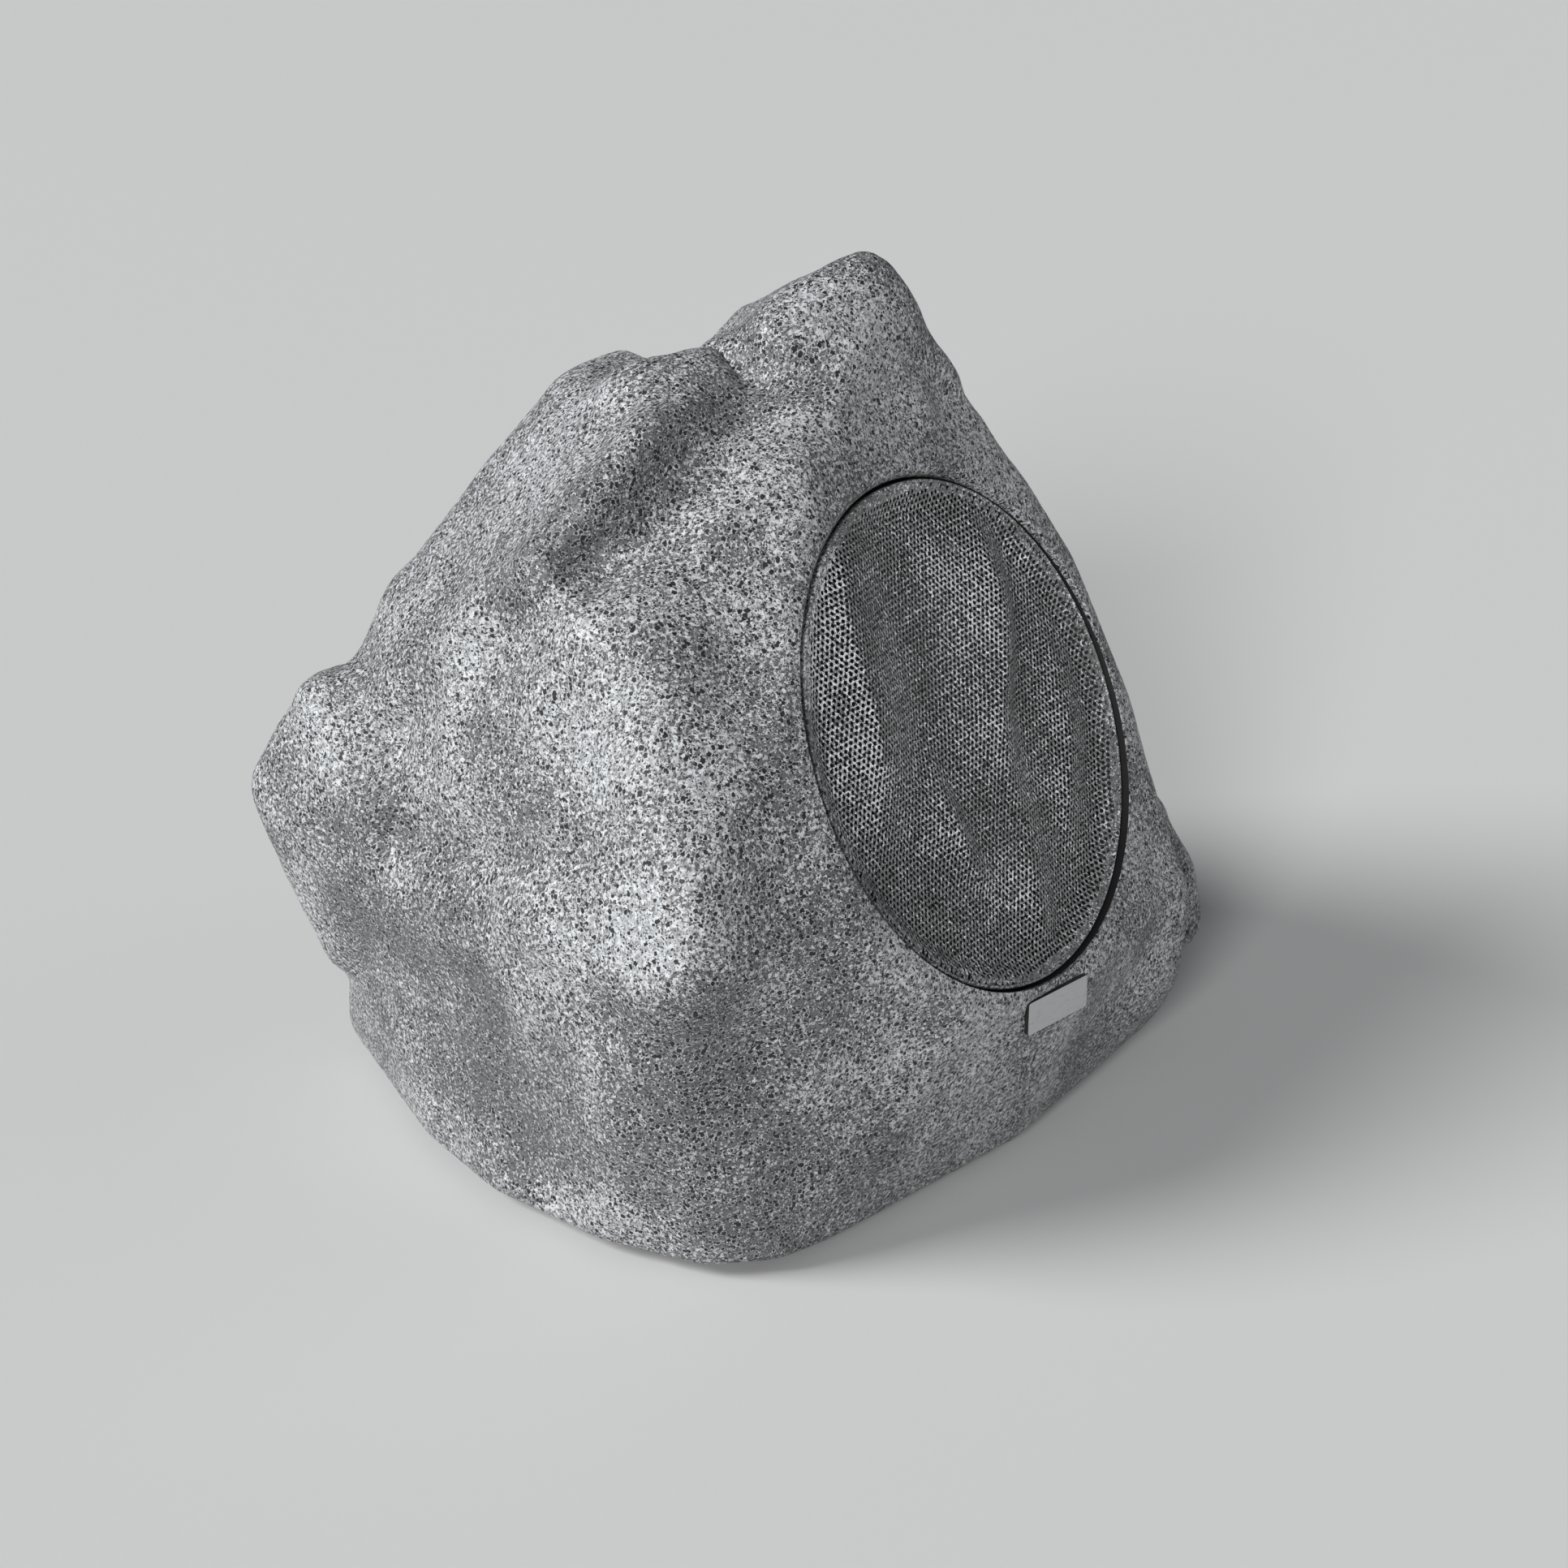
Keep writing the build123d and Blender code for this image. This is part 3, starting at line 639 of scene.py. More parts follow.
# Plugs as radius, low end and high end along their own axes.
GRILLE_PLUG = (0.092, -0.036, 0.004)
FLOOR_PLUG = (0.1015, 0.004, 0.020)
GLAND_PLUG = (0.0085, 0.100, 0.125)

plugged = bmesh.new()
plugged.from_mesh(nodes["rock_shell"].data)
bmesh.ops.remove_doubles(plugged, verts=plugged.verts, dist=WELD)
add_drum(plugged, grille_place, *GRILLE_PLUG)
add_drum(plugged, floor_place, *FLOOR_PLUG)
add_drum(plugged, gland_place, *GLAND_PLUG)
stone = as_object("stone_skin", plugged)
remesh(stone, STONE_VOXEL)
print("stone blank has", len(stone.data.polygons), "faces")

# %% Brush strokes
PLATE_CENTRE = Vector((-0.007, -0.14704, 0.0706))
GLAND_CENTRE = Vector((0, 0.125, GLAND_HEIGHT))
# Distances in metres between which the skin gets free to move.
FREE_OF_GRILLE, FREE_OF_PLATE = (0.0935, 0.118), (0.02, 0.04)
FREE_OF_GLAND, FREE_OF_FLOOR = (0.024, 0.05), (0.005, 0.022)
BEHIND_GRILLE = -0.03
# No stroke goes further than about this from its middle point, in mm.
HALF_STROKE = 80

# Brush strokes in mm: how wide, how far out, and the points on the stone that the brush passes.
STROKES = (
    # Groove below the long ridge that runs from the crest to the left knob, and the ridge above it.
    (22, -6.5, ((-31, -53, 272), (-48, -42, 268), (-67, -37, 258), (-85, -35, 247), (-103, -27, 240))),
    (18, -4.0, ((-103, -27, 240), (-118, -10, 216), (-117, 8, 204))),
    (18, -4.0, ((-18, -47, 277), (-34, -38, 273))),
    (13, 2.0, ((-44, -24, 275), (-71, -21, 270), (-94, -16, 254), (-112, -2, 232))),
    # Upright ridge at the left of the grille, and a small one beside it.
    (34, 5.5, ((-112, -50, 214), (-127, -74, 172), (-142, -84, 124))),
    (14, 2.5, ((-116, 23, 188), (-127, 17, 147))),
    # Crease across the left side, and the sunken faces below it.
    (15, -4.0, ((-125, 44, 131), (-133, -2, 143), (-140, -40, 152))),
    (55, -5.0, ((-132, 22, 66), (-134, -11, 50))),
    # Shoulder that comes up to the crest, the crest's edge, and its right side.
    (22, 9.0, ((-44, -2, 275), (-28, -10, 275), (-8, -10, 272))),
    (14, 2.5, ((-6, -25, 294), (9, -34, 303), (23, -41, 308))),
    (22, -4.0, ((46, -62, 271), (52, -66, 257))),
    # Sunken places in the front, a bump beside the crest, and the foot of the right side.
    (34, -4.5, ((-132, -97, 98), (-128, -100, 70))),
    (24, -3.0, ((-101, -120, 130),)),
    (17, 3.0, ((31, -60, 257),)),
    (34, 6.5, ((92, -138, 56), (88, -137, 40))),
)


def soft_step(value, low, high):
    """Climbs softly from nought at low to one at high."""
    t = min(1.0, max(0.0, (value - low) / (high - low)))
    return t * t * (3 - 2 * t)


def freedom(point):
    """How far a point may be moved: not at all beside the grille, the plate, the gland and the floor."""
    local = to_grille @ point
    beside_grille = 1.0
    if local.z > BEHIND_GRILLE:
        beside_grille = soft_step(math.hypot(local.x, local.y), *FREE_OF_GRILLE)
    beside_plate = soft_step((point - PLATE_CENTRE).length, *FREE_OF_PLATE)
    beside_gland = soft_step((point - GLAND_CENTRE).length, *FREE_OF_GLAND)
    above_floor = soft_step(point.z, *FREE_OF_FLOOR)
    return beside_grille * beside_plate * beside_gland * above_floor


def beside(point, path):
    """Least distance in mm from a point to a path."""
    ends = list(zip(path, path[1:])) or [(path[0], path[0])]
    least = math.inf
    for start, end in ends:
        start, way = Vector(start), Vector(end) - Vector(start)
        t = (point - start).dot(way) / way.length_squared if way.length_squared else 0.0
        least = min(least, (point - start - way * min(1.0, max(0.0, t))).length)
    return least


def brush(here, width, path):
    """How strongly a soft brush touches a point in mm: one on its path, and nought from its width on."""
    if (here - Vector(path[len(path) // 2])).length >= width + HALF_STROKE:
        return 0.0
    away = beside(here, path) / width
    return (1 - away * away) ** 2 if away < 1 else 0.0


def stroke_reach(point):
    """How far the brush strokes push a point out, in metres."""
    here = point * 1000
    return sum(out * brush(here, width, path) for width, out, path in STROKES) / 1000


print("sculpting takes", len(STROKES), "strokes")

# %% Wear and swell
# Swellings of the skin: waves per metre, where the noise is read from, and how far it reaches in metres.
SWELLINGS = (
    (17.0, Vector((3.1, 0.7, 5.2)), 0.0018),
    (42.0, Vector((0.3, 8.1, 2.2)), 0.0015),
    (110.0, Vector((0, 0, 0)), 0.0004),
)
WEAR_TURNS = 3


def smooth_once(net):
    """Moves every corner halfway to the middle of its neighbours."""
    every_way = {"use_axis_x": True, "use_axis_y": True, "use_axis_z": True}
    bmesh.ops.smooth_vert(net, verts=net.verts, factor=0.5, **every_way)


net = bmesh.new()
net.from_mesh(stone.data)
for turn in range(WEAR_TURNS):
    smooth_once(net)
net.normal_update()
moves = []
for vert in net.verts:
    swell = sum(noise.noise(vert.co * scale + start) * reach for scale, start, reach in SWELLINGS)
    moves.append(vert.normal * (swell + stroke_reach(vert.co)) * freedom(vert.co))
for vert, move in zip(net.verts, moves):
    vert.co += move
smooth_once(net)
for face in net.faces:
    face.smooth = True
net.to_mesh(stone.data)
net.free()
print("the skin moves by up to", round(max(move.length for move in moves), 4), "m")

# %% [markdown]
# ## The stone's wall and openings
#
# The real stone is a shell about 12 mm thick, with a round collar behind the grille for the loudspeaker, a
# ring round the opening in its bottom, and a boss where the cable gland goes through. Solidify would
# thicken the net, but on a craggy form its inner side crosses itself. So the hollow is made as a body of
# its own: a shrunken copy of the stone, remeshed to clear its crossings, minus what stays solid. Booleans
# then take the hollow and the openings away.

# %% Cutting
SLIVER = 2e-5


def take_away(thing, tool, finish=None):
    """Takes a closed tool away from an object, gives the cut a finish, and clears slivers and the tool."""
    if finish:
        tool.data.materials.clear()
        tool.data.materials.append(finish)
    hole = thing.modifiers.new("hole", "BOOLEAN")
    hole.operation = "DIFFERENCE"
    hole.solver = "EXACT"
    hole.material_mode = "TRANSFER"
    hole.object = tool
    apply_modifiers(thing)
    bpy.data.objects.remove(tool)
    net = bmesh.new()
    net.from_mesh(thing.data)
    bmesh.ops.dissolve_degenerate(net, dist=SLIVER, edges=net.edges)
    net.to_mesh(thing.data)
    net.free()


def drum_tool(place, radius, low, high):
    """A round bar to cut with."""
    net = bmesh.new()
    add_drum(net, place, radius, low, high)
    return as_object("tool", net)


print("cuts clear slivers below", SLIVER, "m")

# %% Hollow
WALL = 0.0115
CRAGGY_VOXEL, CLEARED_VOXEL = 0.006, 0.005
# What stays solid round the hollow, as radius, low end and high end.
COLLAR = (0.0972, -0.0335, 0.03)
BOTTOM_RING = (0.109, -0.01, 0.026)
GLAND_BOSS = (0.020, 0.110, 0.14)

hollow = bpy.data.objects.new("hollow", stone.data.copy())
scene.collection.objects.link(hollow)
remesh(hollow, CRAGGY_VOXEL)
net = bmesh.new()
net.from_mesh(hollow.data)
net.normal_update()
for vert, inward in [(v, v.normal * -WALL) for v in net.verts]:
    vert.co += inward
net.to_mesh(hollow.data)
net.free()
remesh(hollow, CLEARED_VOXEL)
take_away(hollow, drum_tool(grille_place, *COLLAR))
take_away(hollow, drum_tool(floor_place, *BOTTOM_RING))
take_away(hollow, drum_tool(gland_place, *GLAND_BOSS))
print("hollow has", len(hollow.data.polygons), "faces")
stone.data.materials.clear()
stone.data.materials.append(granite_skin)
take_away(stone, hollow, bare_plastic)

# %% Recess of the grille
RECESS_R = 0.0893
CUTOUT_R, FLANGE_R = 0.073, 0.084
WELL_LOW, GASKET_SEAT, GRILLE_SEAT, WELL_TOP = -0.045, -0.0255, -0.0086, 0.03
# The lip is rounded by LIP and starts at LIP_LOW. Its axis leans a little to the upper left.
LIP, LIP_LOW, LIP_TOP = 0.007, 0.0004, 0.035
LIP_LEAN = math.radians(-1.7)
LIP_AXIS = Vector((0.7, 0.7, 0))
FLARE = 0.012

recess = bmesh.new()
well = [(0, WELL_LOW), (CUTOUT_R, WELL_LOW), (CUTOUT_R, GASKET_SEAT), (FLANGE_R, GASKET_SEAT)]
well += [(FLANGE_R, GRILLE_SEAT), (RECESS_R, GRILLE_SEAT), (RECESS_R, WELL_TOP), (0, WELL_TOP)]
add_turned(recess, grille_place, well)
# The recess's walls take the near black finish, which draws the dark gap round the grille.
take_away(stone, as_object("recess", recess), bare_plastic)

lip_tool = bmesh.new()
part_round = arc(14, 6)
lip = [(RECESS_R + LIP * (1 - math.cos(a)), LIP_LOW + LIP * math.sin(a)) for a in part_round]
flare = (lip[-1][0] + FLARE, lip[-1][1] + FLARE / math.tan(part_round[-1]))
leaning = grille_place @ Matrix.Rotation(LIP_LEAN, 4, LIP_AXIS)
add_turned(lip_tool, leaning, [(0, LIP_LOW)] + lip + [flare, (flare[0], LIP_TOP), (0, LIP_TOP)])
take_away(stone, as_object("lip_tool", lip_tool), granite_skin)
print("recess is", round(2 * RECESS_R, 4), "m wide")

# %% Openings for the bottom plate, the gland and the bare plate
SEAT_R, SEAT_LOW, SEAT_TOP = 0.101, -0.01, 0.008
OPENING_R, OPENING_TOP = 0.080, 0.030
GLAND_BORE = (0.008, 0.100, 0.130)
GLAND_FACE = (0.030, 0.125, 0.150)
PLATE_TURN = math.radians(11)
PLATE_X = Vector((math.cos(PLATE_TURN), -math.sin(PLATE_TURN), 0))
PLATE_UP = Vector((0, 0, 1))
PLATE_OUT = PLATE_X.cross(PLATE_UP)
PLATE_W, PLATE_H, PLATE_T = 0.031, 0.0125, 0.0018
FLAT_EDGE = 0.001
FLAT_DEPTH = 0.02

seat = bmesh.new()
under = [(0, SEAT_LOW), (SEAT_R, SEAT_LOW), (SEAT_R, SEAT_TOP), (OPENING_R, SEAT_TOP)]
add_turned(seat, floor_place, under + [(OPENING_R, OPENING_TOP), (0, OPENING_TOP)])
take_away(stone, as_object("seat", seat), bare_plastic)

take_away(stone, drum_tool(gland_place, *GLAND_BORE), bare_plastic)
take_away(stone, drum_tool(gland_place, *GLAND_FACE), granite_skin)

flat = bmesh.new()
plate_place = placed(PLATE_CENTRE, PLATE_X, PLATE_UP, PLATE_OUT)
flat_place = plate_place @ Matrix.Translation((0, 0, FLAT_DEPTH / 2 - PLATE_T))
add_box(flat, flat_place, (PLATE_W + FLAT_EDGE, PLATE_H + FLAT_EDGE, FLAT_DEPTH))
take_away(stone, as_object("flat", flat), granite_skin)
print("stone has", len(stone.data.polygons), "faces after the cuts")

# %% [markdown]
# ## Where the print is pale and where it is dark, with painted light and shade
#
# The film does not lie evenly, and the strokes here also paint light and shade into it. On the upright ridge
# it is paler, partly as painted light. On the low left side it is thin and plain, and under the long ridge
# and at the foot of the front the dark dots crowd together, partly as painted shade on faces turned from the
# light. Two numbers kept on every corner of the stone's net tell the print how much of each to show. They are
# brushed on with the same kind of strokes as the sculpting.

# %% Print density, with painted light and shade
PALE_START, DARK_START = 0.58, 0.5
# Strokes in mm: how wide, how much paler, how much darker, and the points that the brush passes. The paler
# strokes are partly painted light, and the darker ones partly painted shade.
PRINT_WITH_PAINTED_LIGHT_AND_SHADE = (
    (30, 0.12, -0.08, ((-131, -48, 190), (-137, -54, 169), (-145, -68, 147), (-150, -79, 125))),
    (15, 0.12, -0.1, ((-119, 21, 187), (-129, 13, 149))),
    (62, -0.42, -0.15, ((-129, 47, 98), (-130, 18, 80), (-133, -11, 55))),
    (21, -0.4, 0.35, ((-12, -38, 278), (-37, -29, 274), (-63, -28, 267), (-78, -26, 254), (-102, -15, 242))),
    (15, -0.25, 0.2, ((-102, -15, 242), (-113, 4, 220))),
    (18, -0.25, 0.2, ((-12, -20, 285),)),
    (50, -0.5, 0.42, ((-134, -93, 96), (-134, -85, 49), (-102, -108, 28))),
    (24, -0.2, 0.2, ((-100, -119, 129),)),
    (30, -0.15, 0.1, ((-94, -81, 202), (-80, -56, 233))),
    (14, 0.3, -0.2, ((24, -60, 270),)),
    (30, 0.14, -0.14, ((5, -52, 283), (0, -60, 262))),
    (20, 0.1, -0.1, ((-69, -134, 103),)),
    (45, 0.05, -0.05, ((-30, -142, 62), (50, -144, 60))),
    (20, -0.3, 0.3, ((-19, -45, 278), (-35, -34, 274))),
    (11, -0.35, 0.3, ((-122, 40, 131), (-128, 6, 137), (-135, -20, 145))),
)


def paint(thing, pale, dark):
    """Keeps the two shares of the print on the corners of a net."""
    for name, shares in (("pale_share", pale), ("dark_share", dark)):
        thing.data.attributes.new(name, "FLOAT", "POINT").data.foreach_set("value", shares)


pale_shares = []
dark_shares = []
for vert in stone.data.vertices:
    here = vert.co * 1000
    pale_share, dark_share = PALE_START, DARK_START
    for width, paler, darker, path in PRINT_WITH_PAINTED_LIGHT_AND_SHADE:
        touch = brush(here, width, path)
        pale_share += paler * touch
        dark_share += darker * touch
    pale_shares.append(pale_share)
    dark_shares.append(dark_share)
paint(stone, pale_shares, dark_shares)
print("pale share goes from", round(min(pale_shares), 2), "to", round(max(pale_shares), 2))

stone.data.set_sharp_from_angle(angle=math.radians(50))
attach(stone, "cabinet")
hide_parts("rock_shell")

# %% [markdown]
# ## The folded grille
#
# The grille is a steel sheet punched with nearly six thousand staggered holes and pressed into soft folds
# that follow the stone's relief. A Boolean for each hole would take far too long. A lattice is quicker: on
# a net of even triangles, every corner is the middle of a hole, and bevelling the corners opens all the
# holes at once, six-sided and about a millimetre and a half wide. The corners nearest to the edge stay
# closed. The sheet is folded while it is thin, then Solidify gives it its gauge and its hole walls.

# %% Folds
EDGE = 0.0015
# How deep the sheet lies behind the edge between the folds, and how deep its own edge lies.
SUNK, TUCKED = 0.0042, 0.0006
RISE_FROM, RISE_TO = 0.077, 0.0868
# How the left side of a fold bends up to its crest.
FLANK_CURVE = 1.5

# Folds in mm: each crest as (height on the grille, place across, rise) from top to bottom, and how far its
# sides reach to the left and to the right. Most left sides are longer and gentler than the right ones.
FOLDS = (
    (((88, -33, 2.5), (70, -38, 5.2), (55, -46, 6.8), (40, -49, 7.2), (25, -50, 7.2), (10, -54, 6.0),
      (-25, -66, 0)), 30, 36),
    (((80, 44, 1.5), (55, 42, 5.0), (40, 40, 7.2), (28, 36, 7.5), (15, 29, 7.0), (0, 18, 5.6), (-20, 12, 4.2),
      (-40, 12, 3.0), (-60, 11, 1.5), (-85, 5, 0)), 40, 20),
    (((5, -25, 0), (-10, -27, 2.6), (-25, -26, 4.0), (-40, -23, 2.6), (-52, -19, 0)), 24, 12),
    (((-40, 9, 0), (-55, 6, 2.0), (-70, 2, 2.4), (-85, -3, 0.8)), 18, 16),
    (((25, 65, 0), (0, 63, 2.0), (-20, 57, 3.0), (-40, 43, 2.6), (-60, 35, 0)), 24, 18),
)


def along(crest, height):
    """Reads a crest's place and rise at a height, straight between its points."""
    if height >= crest[0][0]:
        return crest[0][1:]
    for (high, x0, rise0), (low, x1, rise1) in zip(crest, crest[1:]):
        if height >= low:
            t = (high - height) / (high - low)
            return x0 + (x1 - x0) * t, rise0 + (rise1 - rise0) * t
    return crest[-1][1:]


def fold_rise(across, height):
    """How far the folds stand up at a place on the sheet, in metres."""
    rise = 0.0
    for crest, left, right in FOLDS:
        place, top = along(crest, height * 1000)
        away = across * 1000 - place
        if 0 <= away < right:
            rise += top * math.cos(away / right * math.pi / 2) ** 2
        elif -left < away < 0:
            rise += top * (1 + away / left) ** FLANK_CURVE
    return rise * 0.001


def fold_depth(across, height):
    """Depth of the sheet along the grille's axis, in metres. Its outer part comes back up to the rim."""
    folded = EDGE - SUNK + fold_rise(across, height)
    to_rim = soft_step(math.hypot(across, height), RISE_FROM, RISE_TO)
    return folded + (EDGE - TUCKED - folded) * to_rim


print("the sheet has", len(FOLDS), "folds")

# %% Punched sheet
PITCH = 0.00212
HOLE = 0.00082
SHEET_R = 0.0872
GAUGE = 0.00025
LATTICE_HALF = 0.145
PLAIN_EDGE = 1.4 * PITCH
# A little more than a six-sided hole covers.
HOLE_AREA = 2.7 * HOLE * HOLE
TO_CIRCLE = 0.8

sheet = bmesh.new()
reach = math.ceil(LATTICE_HALF / PITCH)
bmesh.ops.create_grid(sheet, x_segments=2 * reach, y_segments=2 * reach, size=reach * PITCH)
lean = Matrix(((1, 0.5, 0, 0), (0, math.sqrt(0.75), 0, 0), (0, 0, 1, 0), (0, 0, 0, 1)))
bmesh.ops.transform(sheet, matrix=lean, verts=sheet.verts)
outside = [v for v in sheet.verts if math.hypot(v.co.x, v.co.y) > SHEET_R]
bmesh.ops.delete(sheet, geom=outside, context="VERTS")
bmesh.ops.delete(sheet, geom=[e for e in sheet.edges if e.is_wire], context="EDGES")
bmesh.ops.triangulate(sheet, faces=sheet.faces, quad_method="SHORT_EDGE")
middles = [v for v in sheet.verts if math.hypot(v.co.x, v.co.y) < SHEET_R - PLAIN_EDGE]
at_corners = {"affect": "VERTICES", "segments": 1, "profile": 0.5, "material": -1}
opened = bmesh.ops.bevel(sheet, geom=middles, offset=HOLE, offset_type="OFFSET", **at_corners)
holes = [f for f in opened["faces"] if len(f.verts) == 6 and f.calc_area() < HOLE_AREA]
bmesh.ops.delete(sheet, geom=holes, context="FACES_ONLY")
for vert in sheet.verts:
    radius = math.hypot(vert.co.x, vert.co.y)
    if radius > SHEET_R - PITCH and vert.is_boundary:
        vert.co *= 1 + TO_CIRCLE * (SHEET_R / radius - 1)
    vert.co.z = fold_depth(vert.co.x, vert.co.y)
bmesh.ops.recalc_face_normals(sheet, faces=sheet.faces)
bmesh.ops.solidify(sheet, geom=sheet.faces[:], thickness=GAUGE)
print("punched", len(middles), "holes in", len(sheet.faces), "faces")

# %% Rim and finish of the grille
RIM_SECTION = (
    (0.0874, -0.0086), (0.0880, -0.0086), (0.0880, EDGE - 0.0006), (0.0878, EDGE - 0.0002), (0.0875, EDGE),
    (0.0871, EDGE - 0.0001), (0.0868, EDGE - 0.0004), (0.0868, EDGE - 0.0014), (0.0874, EDGE - 0.0018),
)
RIM_STEPS = 160
STEP = 0.002
# Shares of the print at the foot of the grille, what its height adds, and what a flank of a fold adds. The
# foot and the flanks that face right are darker as painted shade, and the upper part and the flanks that face
# left are paler as painted light.
PALE_FOOT, PALE_LIGHT_BY_HEIGHT, PALE_LIGHT_ON_FLANK = 0.04, 0.14, 2.3
DARK_FOOT, DARK_SHADE_BY_HEIGHT, DARK_SHADE_ON_FLANK = 0.45, -0.35, 1.5
# Heights on the grille between which the painted shade at the foot gives way to painted light higher up.
SHADE_TO_LIGHT_LOW, SHADE_TO_LIGHT_HIGH = -0.07, 0.05

rim = bmesh.new()
add_ring(rim, RIM_SECTION, RIM_STEPS)
for face in rim.faces:
    face.smooth = True
join_net(sheet, rim)
bmesh.ops.transform(sheet, matrix=grille_place, verts=sheet.verts)
grille = as_object("folded_grille", sheet)
granite_mesh = granite_finish(
    "granite_mesh", grey(0.19, -0.01), grey(0.90, -0.02), grey(0.02), rough=0.38, bump=0.2
)
grille.data.materials.append(granite_mesh)

# Painted light and shade: the flanks of the folds that face left, towards the light, get more pale blotches,
# and the flanks that face right get more dark dots.
pale_shares = []
dark_shares = []
for vert in grille.data.vertices:
    here = to_grille @ vert.co
    climb = (fold_rise(here.x + STEP, here.y) - fold_rise(here.x - STEP, here.y)) / (2 * STEP)
    high = soft_step(here.y, SHADE_TO_LIGHT_LOW, SHADE_TO_LIGHT_HIGH)
    pale_shares.append(PALE_FOOT + PALE_LIGHT_BY_HEIGHT * high + PALE_LIGHT_ON_FLANK * max(climb, 0.0))
    dark_shares.append(DARK_FOOT + DARK_SHADE_BY_HEIGHT * high + DARK_SHADE_ON_FLANK * max(-climb, 0.0))
paint(grille, pale_shares, dark_shares)
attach(grille, "cabinet")
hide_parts("grille_mesh")
grille.data.calc_loop_triangles()
print("grille has", len(grille.data.loop_triangles), "triangles")

# %% [markdown]
# ## Finishes of the smaller pieces
#
# Every plastic, rubber and metal now gets its own colours, grain and shine from the two groups. The rings
# on the cone, the cloth disc and the plated steel run round the loudspeaker's axis, and the turns of its
# coil lie along it. The transformer's winding runs up its core, and its sheets are stacked from front to
# back.

# %% Finishes
driver_axis = (tuple(GRILLE_CENTRE), tuple(grille_place.to_euler()))
upright_axis = ((0, 0, 0), (0, 0, 0))
stack_axis = ((0, 0, 0), (math.radians(-90), 0, 0))

# Colour, worn colour, grain and wear per metre, worn share, roughness new and worn, relief, metal.
GRAINED = {
    "black_plastic": ((0.018, 0.018, 0.020), (0.045, 0.045, 0.047), 2600, 30, 0.4, (0.62, 0.45), 0.5, 0.0),
    "black_rubber": ((0.012, 0.012, 0.013), (0.034, 0.033, 0.031), 900, 60, 0.5, (0.85, 0.7), 0.3, 0.0),
    "basket_plastic": ((0.024, 0.024, 0.026), (0.05, 0.05, 0.052), 700, 25, 0.3, (0.5, 0.36), 0.2, 0.0),
    "white_plastic": ((0.72, 0.70, 0.64), (0.60, 0.57, 0.49), 1200, 80, 0.3, (0.4, 0.55), 0.1, 0.0),
    "wire_plastic": ((0.34, 0.012, 0.010), (0.26, 0.02, 0.016), 500, 90, 0.4, (0.4, 0.5), 0.1, 0.0),
    "ferrite": ((0.030, 0.030, 0.032), (0.075, 0.075, 0.08), 1800, 50, 0.4, (0.7, 0.5), 0.4, 0.0),
    "screw_steel": ((0.52, 0.52, 0.53), (0.36, 0.34, 0.31), 1400, 160, 0.4, (0.3, 0.5), 0.15, 1.0),
    "tag_brass": ((0.66, 0.48, 0.17), (0.40, 0.27, 0.10), 1600, 200, 0.4, (0.3, 0.5), 0.1, 1.0),
}
# Colour, worn colour, rings per metre, one where they lie along the axis, axis, roughness, relief, metal.
RINGED = {
    "spider_cloth": ((0.42, 0.30, 0.12), (0.52, 0.40, 0.20), 900, 0, driver_axis, (0.9, 0.8), 0.6, 0.0),
    "zinc_steel": ((0.50, 0.50, 0.49), (0.62, 0.60, 0.52), 1600, 0, driver_axis, (0.36, 0.5), 0.2, 1.0),
    "lamination_steel": ((0.16, 0.16, 0.17), (0.22, 0.15, 0.10), 1800, 1, stack_axis, (0.5, 0.7), 0.5, 1.0),
    "winding_copper": ((0.46, 0.22, 0.05), (0.58, 0.32, 0.09), 2200, 1, upright_axis, (0.3, 0.45), 0.7, 1.0),
    "cone_plastic": ((0.015, 0.015, 0.017), (0.03, 0.03, 0.032), 300, 0, driver_axis, (0.42, 0.3), 0.12, 0.0),
    "coil_brass": ((0.60, 0.25, 0.10), (0.66, 0.34, 0.15), 3000, 1, driver_axis, (0.3, 0.4), 0.7, 1.0),
}
FINISHES = {"granite_skin": granite_skin, "granite_mesh": granite_mesh}
for name, look in GRAINED.items():
    FINISHES[name] = grained_finish(name, *look)
for name, look in RINGED.items():
    FINISHES[name] = ringed_finish(name, *look)
print("made", len(FINISHES), "finishes")

# %% [markdown]
# ## The bare plate
#
# A small aluminium plate is stuck below the grille on a flat in the stone. It is bare. Its face is brushed
# along its length, and its sides are near black as painted shade, which draws the thin dark line round it.
# A cube with two bevels gives it: the four short edges get the corner rounding, then the rim of the face
# gets a fine break that catches the light.

# %% Bare plate
PLATE_CORNER = 0.001
PLATE_BREAK = 0.0002
BRUSHED = (1.0, 12.0, 12.0)
# Above these a corner lies on the plate's face, and a face looks out.
ON_FACE, LOOKS_OUT = -1e-5, 0.9

plate_metal = grained_finish(
    "plate_metal",
    (0.50, 0.50, 0.51),
    (0.42, 0.42, 0.43),
    grain=500,
    wear=120,
    share=0.3,
    rough=(0.42, 0.52),
    bump=0.25,
    metal=0.35,
    stretch=((0, 0, PLATE_TURN), BRUSHED),
)
plate_side_shade = grained_finish("plate_side_shade", (0.012, 0.012, 0.013), (0.03, 0.03, 0.03), rough=(0.5, 0.4))


def break_edges(net, edges, width, segments):
    """Rounds edges by a narrow bevel."""
    bmesh.ops.bevel(
        net, geom=edges, offset=width, affect="EDGES", segments=segments, profile=0.5, material=-1
    )


